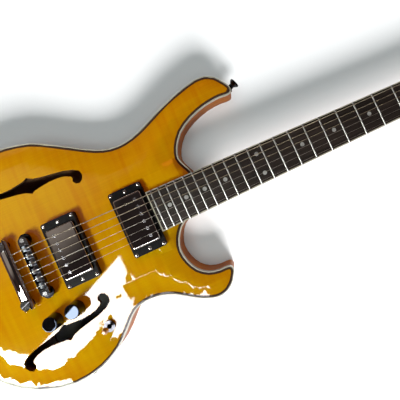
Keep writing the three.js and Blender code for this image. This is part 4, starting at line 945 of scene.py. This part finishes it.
# Stop tailpiece
# A cast and plated bar, hooked by its forked ends under the flanges of two large slotted studs that screw
# into bushes in the top. The strings' balls seat in holes along its back.
tailpiece = copy_of("stop_tailpiece", "tailpiece")
round_edges(tailpiece, 1.2 * MM, segments=3, degrees=12)
smooth(tailpiece, 60, keep_flats=False)
dress(tailpiece, chrome, replaced=["stop_tailpiece"])
tailpiece_x = -27.5
stud = turned("stud", [(5.5, 32), (5.5, 50.4), (6.3, 50.6), (6.3, 51.4), (3.4, 51.5), (3.4, 60.9),
                       (6.2, 60.95), (6.6, 61.3), (6.6, 62), (6, 62.45)], sides=36)
cut(stud, box("slot", (14, 1.2, 2.4), (0, 0, 62.45)))
smooth(stud, 30)
for end, y in (("bass", 41), ("treble", -41)):
    turn = Matrix.Rotation(0.5 + y, 4, "Z")
    dress(another(stud, f"stud_{end}", shifted(tailpiece_x, y, 0) @ turn), shade_darkened_nickel,
          replaced=[f"tailpiece_stud_{end}"])
put_away(stud)


# Strings
# Six steel strings; the three low ones are wound with bronze-coloured wire. Each runs from its ball,
# seated in the tailpiece, over its saddle and the nut to its tuner post; the balls are coloured near black,
# as painted shade behind the tailpiece.
plain_wire = plain("plain_wire", (0.38, 0.35, 0.31), (0.48, 0.44, 0.39), 300, 0.34, metallic=1, bump=0.01)
wound_wire, nodes, links, shader = node_material("wound_wire")
place = nodes.new("ShaderNodeTexCoord")
turns = nodes.new("ShaderNodeTexWave")
turns.inputs["Scale"].default_value = 900
turns.inputs["Distortion"].default_value = 0.4
tones = nodes.new("ShaderNodeValToRGB")
tones.color_ramp.elements[0].color = (0.18, 0.14, 0.1, 1)
tones.color_ramp.elements[1].color = (0.46, 0.4, 0.32, 1)
dents = nodes.new("ShaderNodeBump")
dents.inputs["Strength"].default_value = 0.6
dents.inputs["Distance"].default_value = 0.0002
gloss = nodes.new("ShaderNodeMapRange")
gloss.inputs["To Min"].default_value = 0.5
gloss.inputs["To Max"].default_value = 0.36
links.new(place.outputs["Object"], turns.inputs["Vector"])
links.new(turns.outputs["Fac"], tones.inputs["Fac"])
links.new(tones.outputs["Color"], shader.inputs["Base Color"])
links.new(turns.outputs["Fac"], dents.inputs["Height"])
links.new(dents.outputs["Normal"], shader.inputs["Normal"])
links.new(turns.outputs["Fac"], gloss.inputs["Value"])
links.new(gloss.outputs["Result"], shader.inputs["Roughness"])
shader.inputs["Metallic"].default_value = 1
ball_back = -32 * MM
ball_front = -29.5 * MM
for number in range(1, 7):
    wire = copy_of(f"string_{number}", f"wire_{number}")
    smooth(wire, 80)
    if number > 3:
        dress(wire, wound_wire, replaced=[f"string_{number}"])
    else:
        dress(wire, plain_wire, replaced=[f"string_{number}"])
    for vertex in wire.data.vertices:
        vertex.co.x = max(vertex.co.x, ball_back)
    # The balls are coloured near black: painted shade behind the tailpiece.
    wire.data.materials.append(black_nickel_and_shade)
    for face in wire.data.polygons:
        if face.center.x < ball_front:
            face.material_index = 1


# Volume and tone knobs
# Glossy black moulded knobs with a slightly tapered side, a rounded upper edge and a flat top, pushed on
# to the split shafts of the two controls under the top.
knob_plastic = plain("knob_plastic", (0.002, 0.002, 0.003), (0.005, 0.004, 0.005), 200, 0.02, bump=0.02,
                     specular=0.5)
knob_shader = knob_plastic.node_tree.nodes["Principled BSDF"]
# The knobs' reflections are tinted pale blue: a painted reflection of daylight, not a colour of the
# plastic.
knob_shader.inputs["Specular Tint"].default_value = (0.58, 0.72, 1, 1)
steel = plain("steel", (0.36, 0.36, 0.36), (0.5, 0.5, 0.5), 120, 0.3, metallic=1)
knob = turned("knob", [(10.2, 52.6), (10.2, 53.4), (9.55, 68.4), (9.3, 69.2), (8.8, 69.55), (8.5, 69.6),
                       (8.2, 69.6)], sides=48)
knob_shaft = turned("knob_shaft", [(3, 36.2), (3, 53)], sides=20)
smooth(knob, 40)
smooth(knob_shaft, 30)
for name, x, y in (("volume", 26.5, -72), ("tone", -5, -75)):
    dress(another(knob, f"{name}_cap", shifted(x, y, 0)), knob_plastic, body=f"{name}_knob",
          replaced=[f"{name}_knob"])
    dress(another(knob_shaft, f"{name}_shaft", shifted(x, y, 0)), steel, body=f"{name}_knob",
          replaced=[f"{name}_knob"])
    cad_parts[f"{name}_pot"].material_slots[0].material = steel
put_away(knob)
put_away(knob_shaft)


# Pickup switch
# A three-way lever on a ball in a threaded bush, held by a ring nut on the top, with a small amber tip
# screwed on its end.
amber_tip = plain("amber_tip", (0.42, 0.14, 0.01), (0.62, 0.25, 0.03), 200, 0.25, coat=0.6)
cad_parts["switch_body"].material_slots[0].material = black_nickel_and_shade
lever_pivot = shifted(54, -112, 45.87)
lever = turned("lever", [(1.5, -2.55), (2.55, -1.5), (2.95, 0), (2.55, 1.5), (1.5, 2.55), (1.5, 16)])
tip = turned("tip", [(2.2, 15), (2.9, 16), (3.9, 19.5), (4, 22), (3.6, 24.2), (2.6, 25.5), (1.2, 26)],
             sides=28)
smooth(lever, 40)
smooth(tip, 50)
lever.data.transform(lever_pivot)
tip.data.transform(lever_pivot)
dress(lever, nickel, body="switch_lever", replaced=["switch_lever"])
dress(tip, amber_tip, body="switch_lever", replaced=["switch_lever"])


# Output jack, strap buttons and control cover
# The jack is screwed into a plated plate in the treble side; plated buttons for the strap are screwed to
# the bass horn and the tail; the cover of the control cavity is a matt black plate let into the back.
fittings = (("jack_plate", 0.5, nickel), ("output_jack", 0.2, nickel),
            ("strap_button_horn", 0.3, black_nickel_and_shade), ("strap_button_tail", 0.3, black_nickel_and_shade))
for node, fine, metal in fittings:
    piece = copy_of(node, f"{node}_plated")
    round_edges(piece, fine * MM, degrees=40)
    smooth(piece, 35)
    dress(piece, metal, replaced=[node])
control_cover = copy_of("control_cover", "control_plate")
round_edges(control_cover, 0.4 * MM, degrees=40)
smooth(control_cover, 35)
flat_screw = turned("flat_screw", [(1, -1.4), (2.1, -0.3), (2.1, 0), (1.7, 0.25), (0.8, 0.4)], sides=20)
cut(flat_screw, box("slot", (2.6, 0.5, 0.9), (0, 0, 0.5)))
cut(flat_screw, box("slot", (0.5, 2.6, 0.9), (0, 0, 0.5)))
smooth(flat_screw, 30)
plate_face = -165.6
cover_face = 0.45
sideways = Matrix.Rotation(math.pi / 2, 4, "X")
downwards = Matrix.Rotation(math.pi, 4, "X")
for number, (x, z) in enumerate(((-27, 11.5), (-27, 28.5), (-1, 11.5), (-1, 28.5)), 1):
    turn = Matrix.Rotation(0.8 * number + 0.3, 4, "Z")
    place = shifted(x, plate_face, z) @ sideways @ turn
    dress(another(flat_screw, f"jack_screw_{number}", place), nickel)
for number, (x, y) in enumerate(((-42, -116), (-42, -68), (58, -116), (58, -68)), 1):
    turn = Matrix.Rotation(0.6 * number, 4, "Z")
    place = shifted(x, y, cover_face) @ downwards @ turn
    dress(another(flat_screw, f"cover_screw_{number}", place), nickel)
matt_plastic = plain("matt_plastic", (0.012, 0.011, 0.011), (0.022, 0.02, 0.02), 400, 0.7, bump=0.3,
                     specular=0.2)
dress(control_cover, matt_plastic, replaced=["control_cover"])


# Tuners
# Six closed machine heads with plated housings, posts with a string hole through a bush and washer, and
# round-edged buttons whose shafts turn the posts at one fourteenth of a turn.
for number in range(1, 7):
    for kind in ("housing", "post", "button"):
        node = f"tuner_{kind}_{number}"
        piece = copy_of(node, f"{node}_plated")
        if kind == "button":
            round_edges(piece, 0.3 * MM, segments=1, degrees=60)
            rounder = piece.modifiers.new("rounder", "SUBSURF")
            rounder.levels = 2
            bpy.ops.object.modifier_apply(modifier=rounder.name)
        else:
            round_edges(piece, 0.35 * MM, degrees=40)
        smooth(piece, 35)
        body = "root" if kind == "housing" else node
        dress(piece, chrome, body=body, replaced=[node])


# Truss rod and its cover
# A steel rod under the board, reached at the headstock under a small black bell-shaped plate, which two
# small screws hold.
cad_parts["truss_rod"].material_slots[0].material = steel
rod_cover = copy_of("truss_rod_cover", "rod_cover")
round_edges(rod_cover, 0.4 * MM, degrees=40)
smooth(rod_cover, 35)
dress(rod_cover, black_plastic, replaced=["truss_rod_cover"])
slope = neck_tilt + head_pitch
cover_start = 634.4
cover_top = 46.41
for number, x in enumerate((638.5, 677), 1):
    height = cover_top - (x - cover_start) * math.tan(slope)
    turn = Matrix.Rotation(slope, 4, "Y") @ Matrix.Rotation(0.9 * number, 4, "Z")
    place = shifted(x, 0, height) @ turn
    dress(another(flat_screw, f"rod_cover_screw_{number}", place), nickel)
put_away(flat_screw)
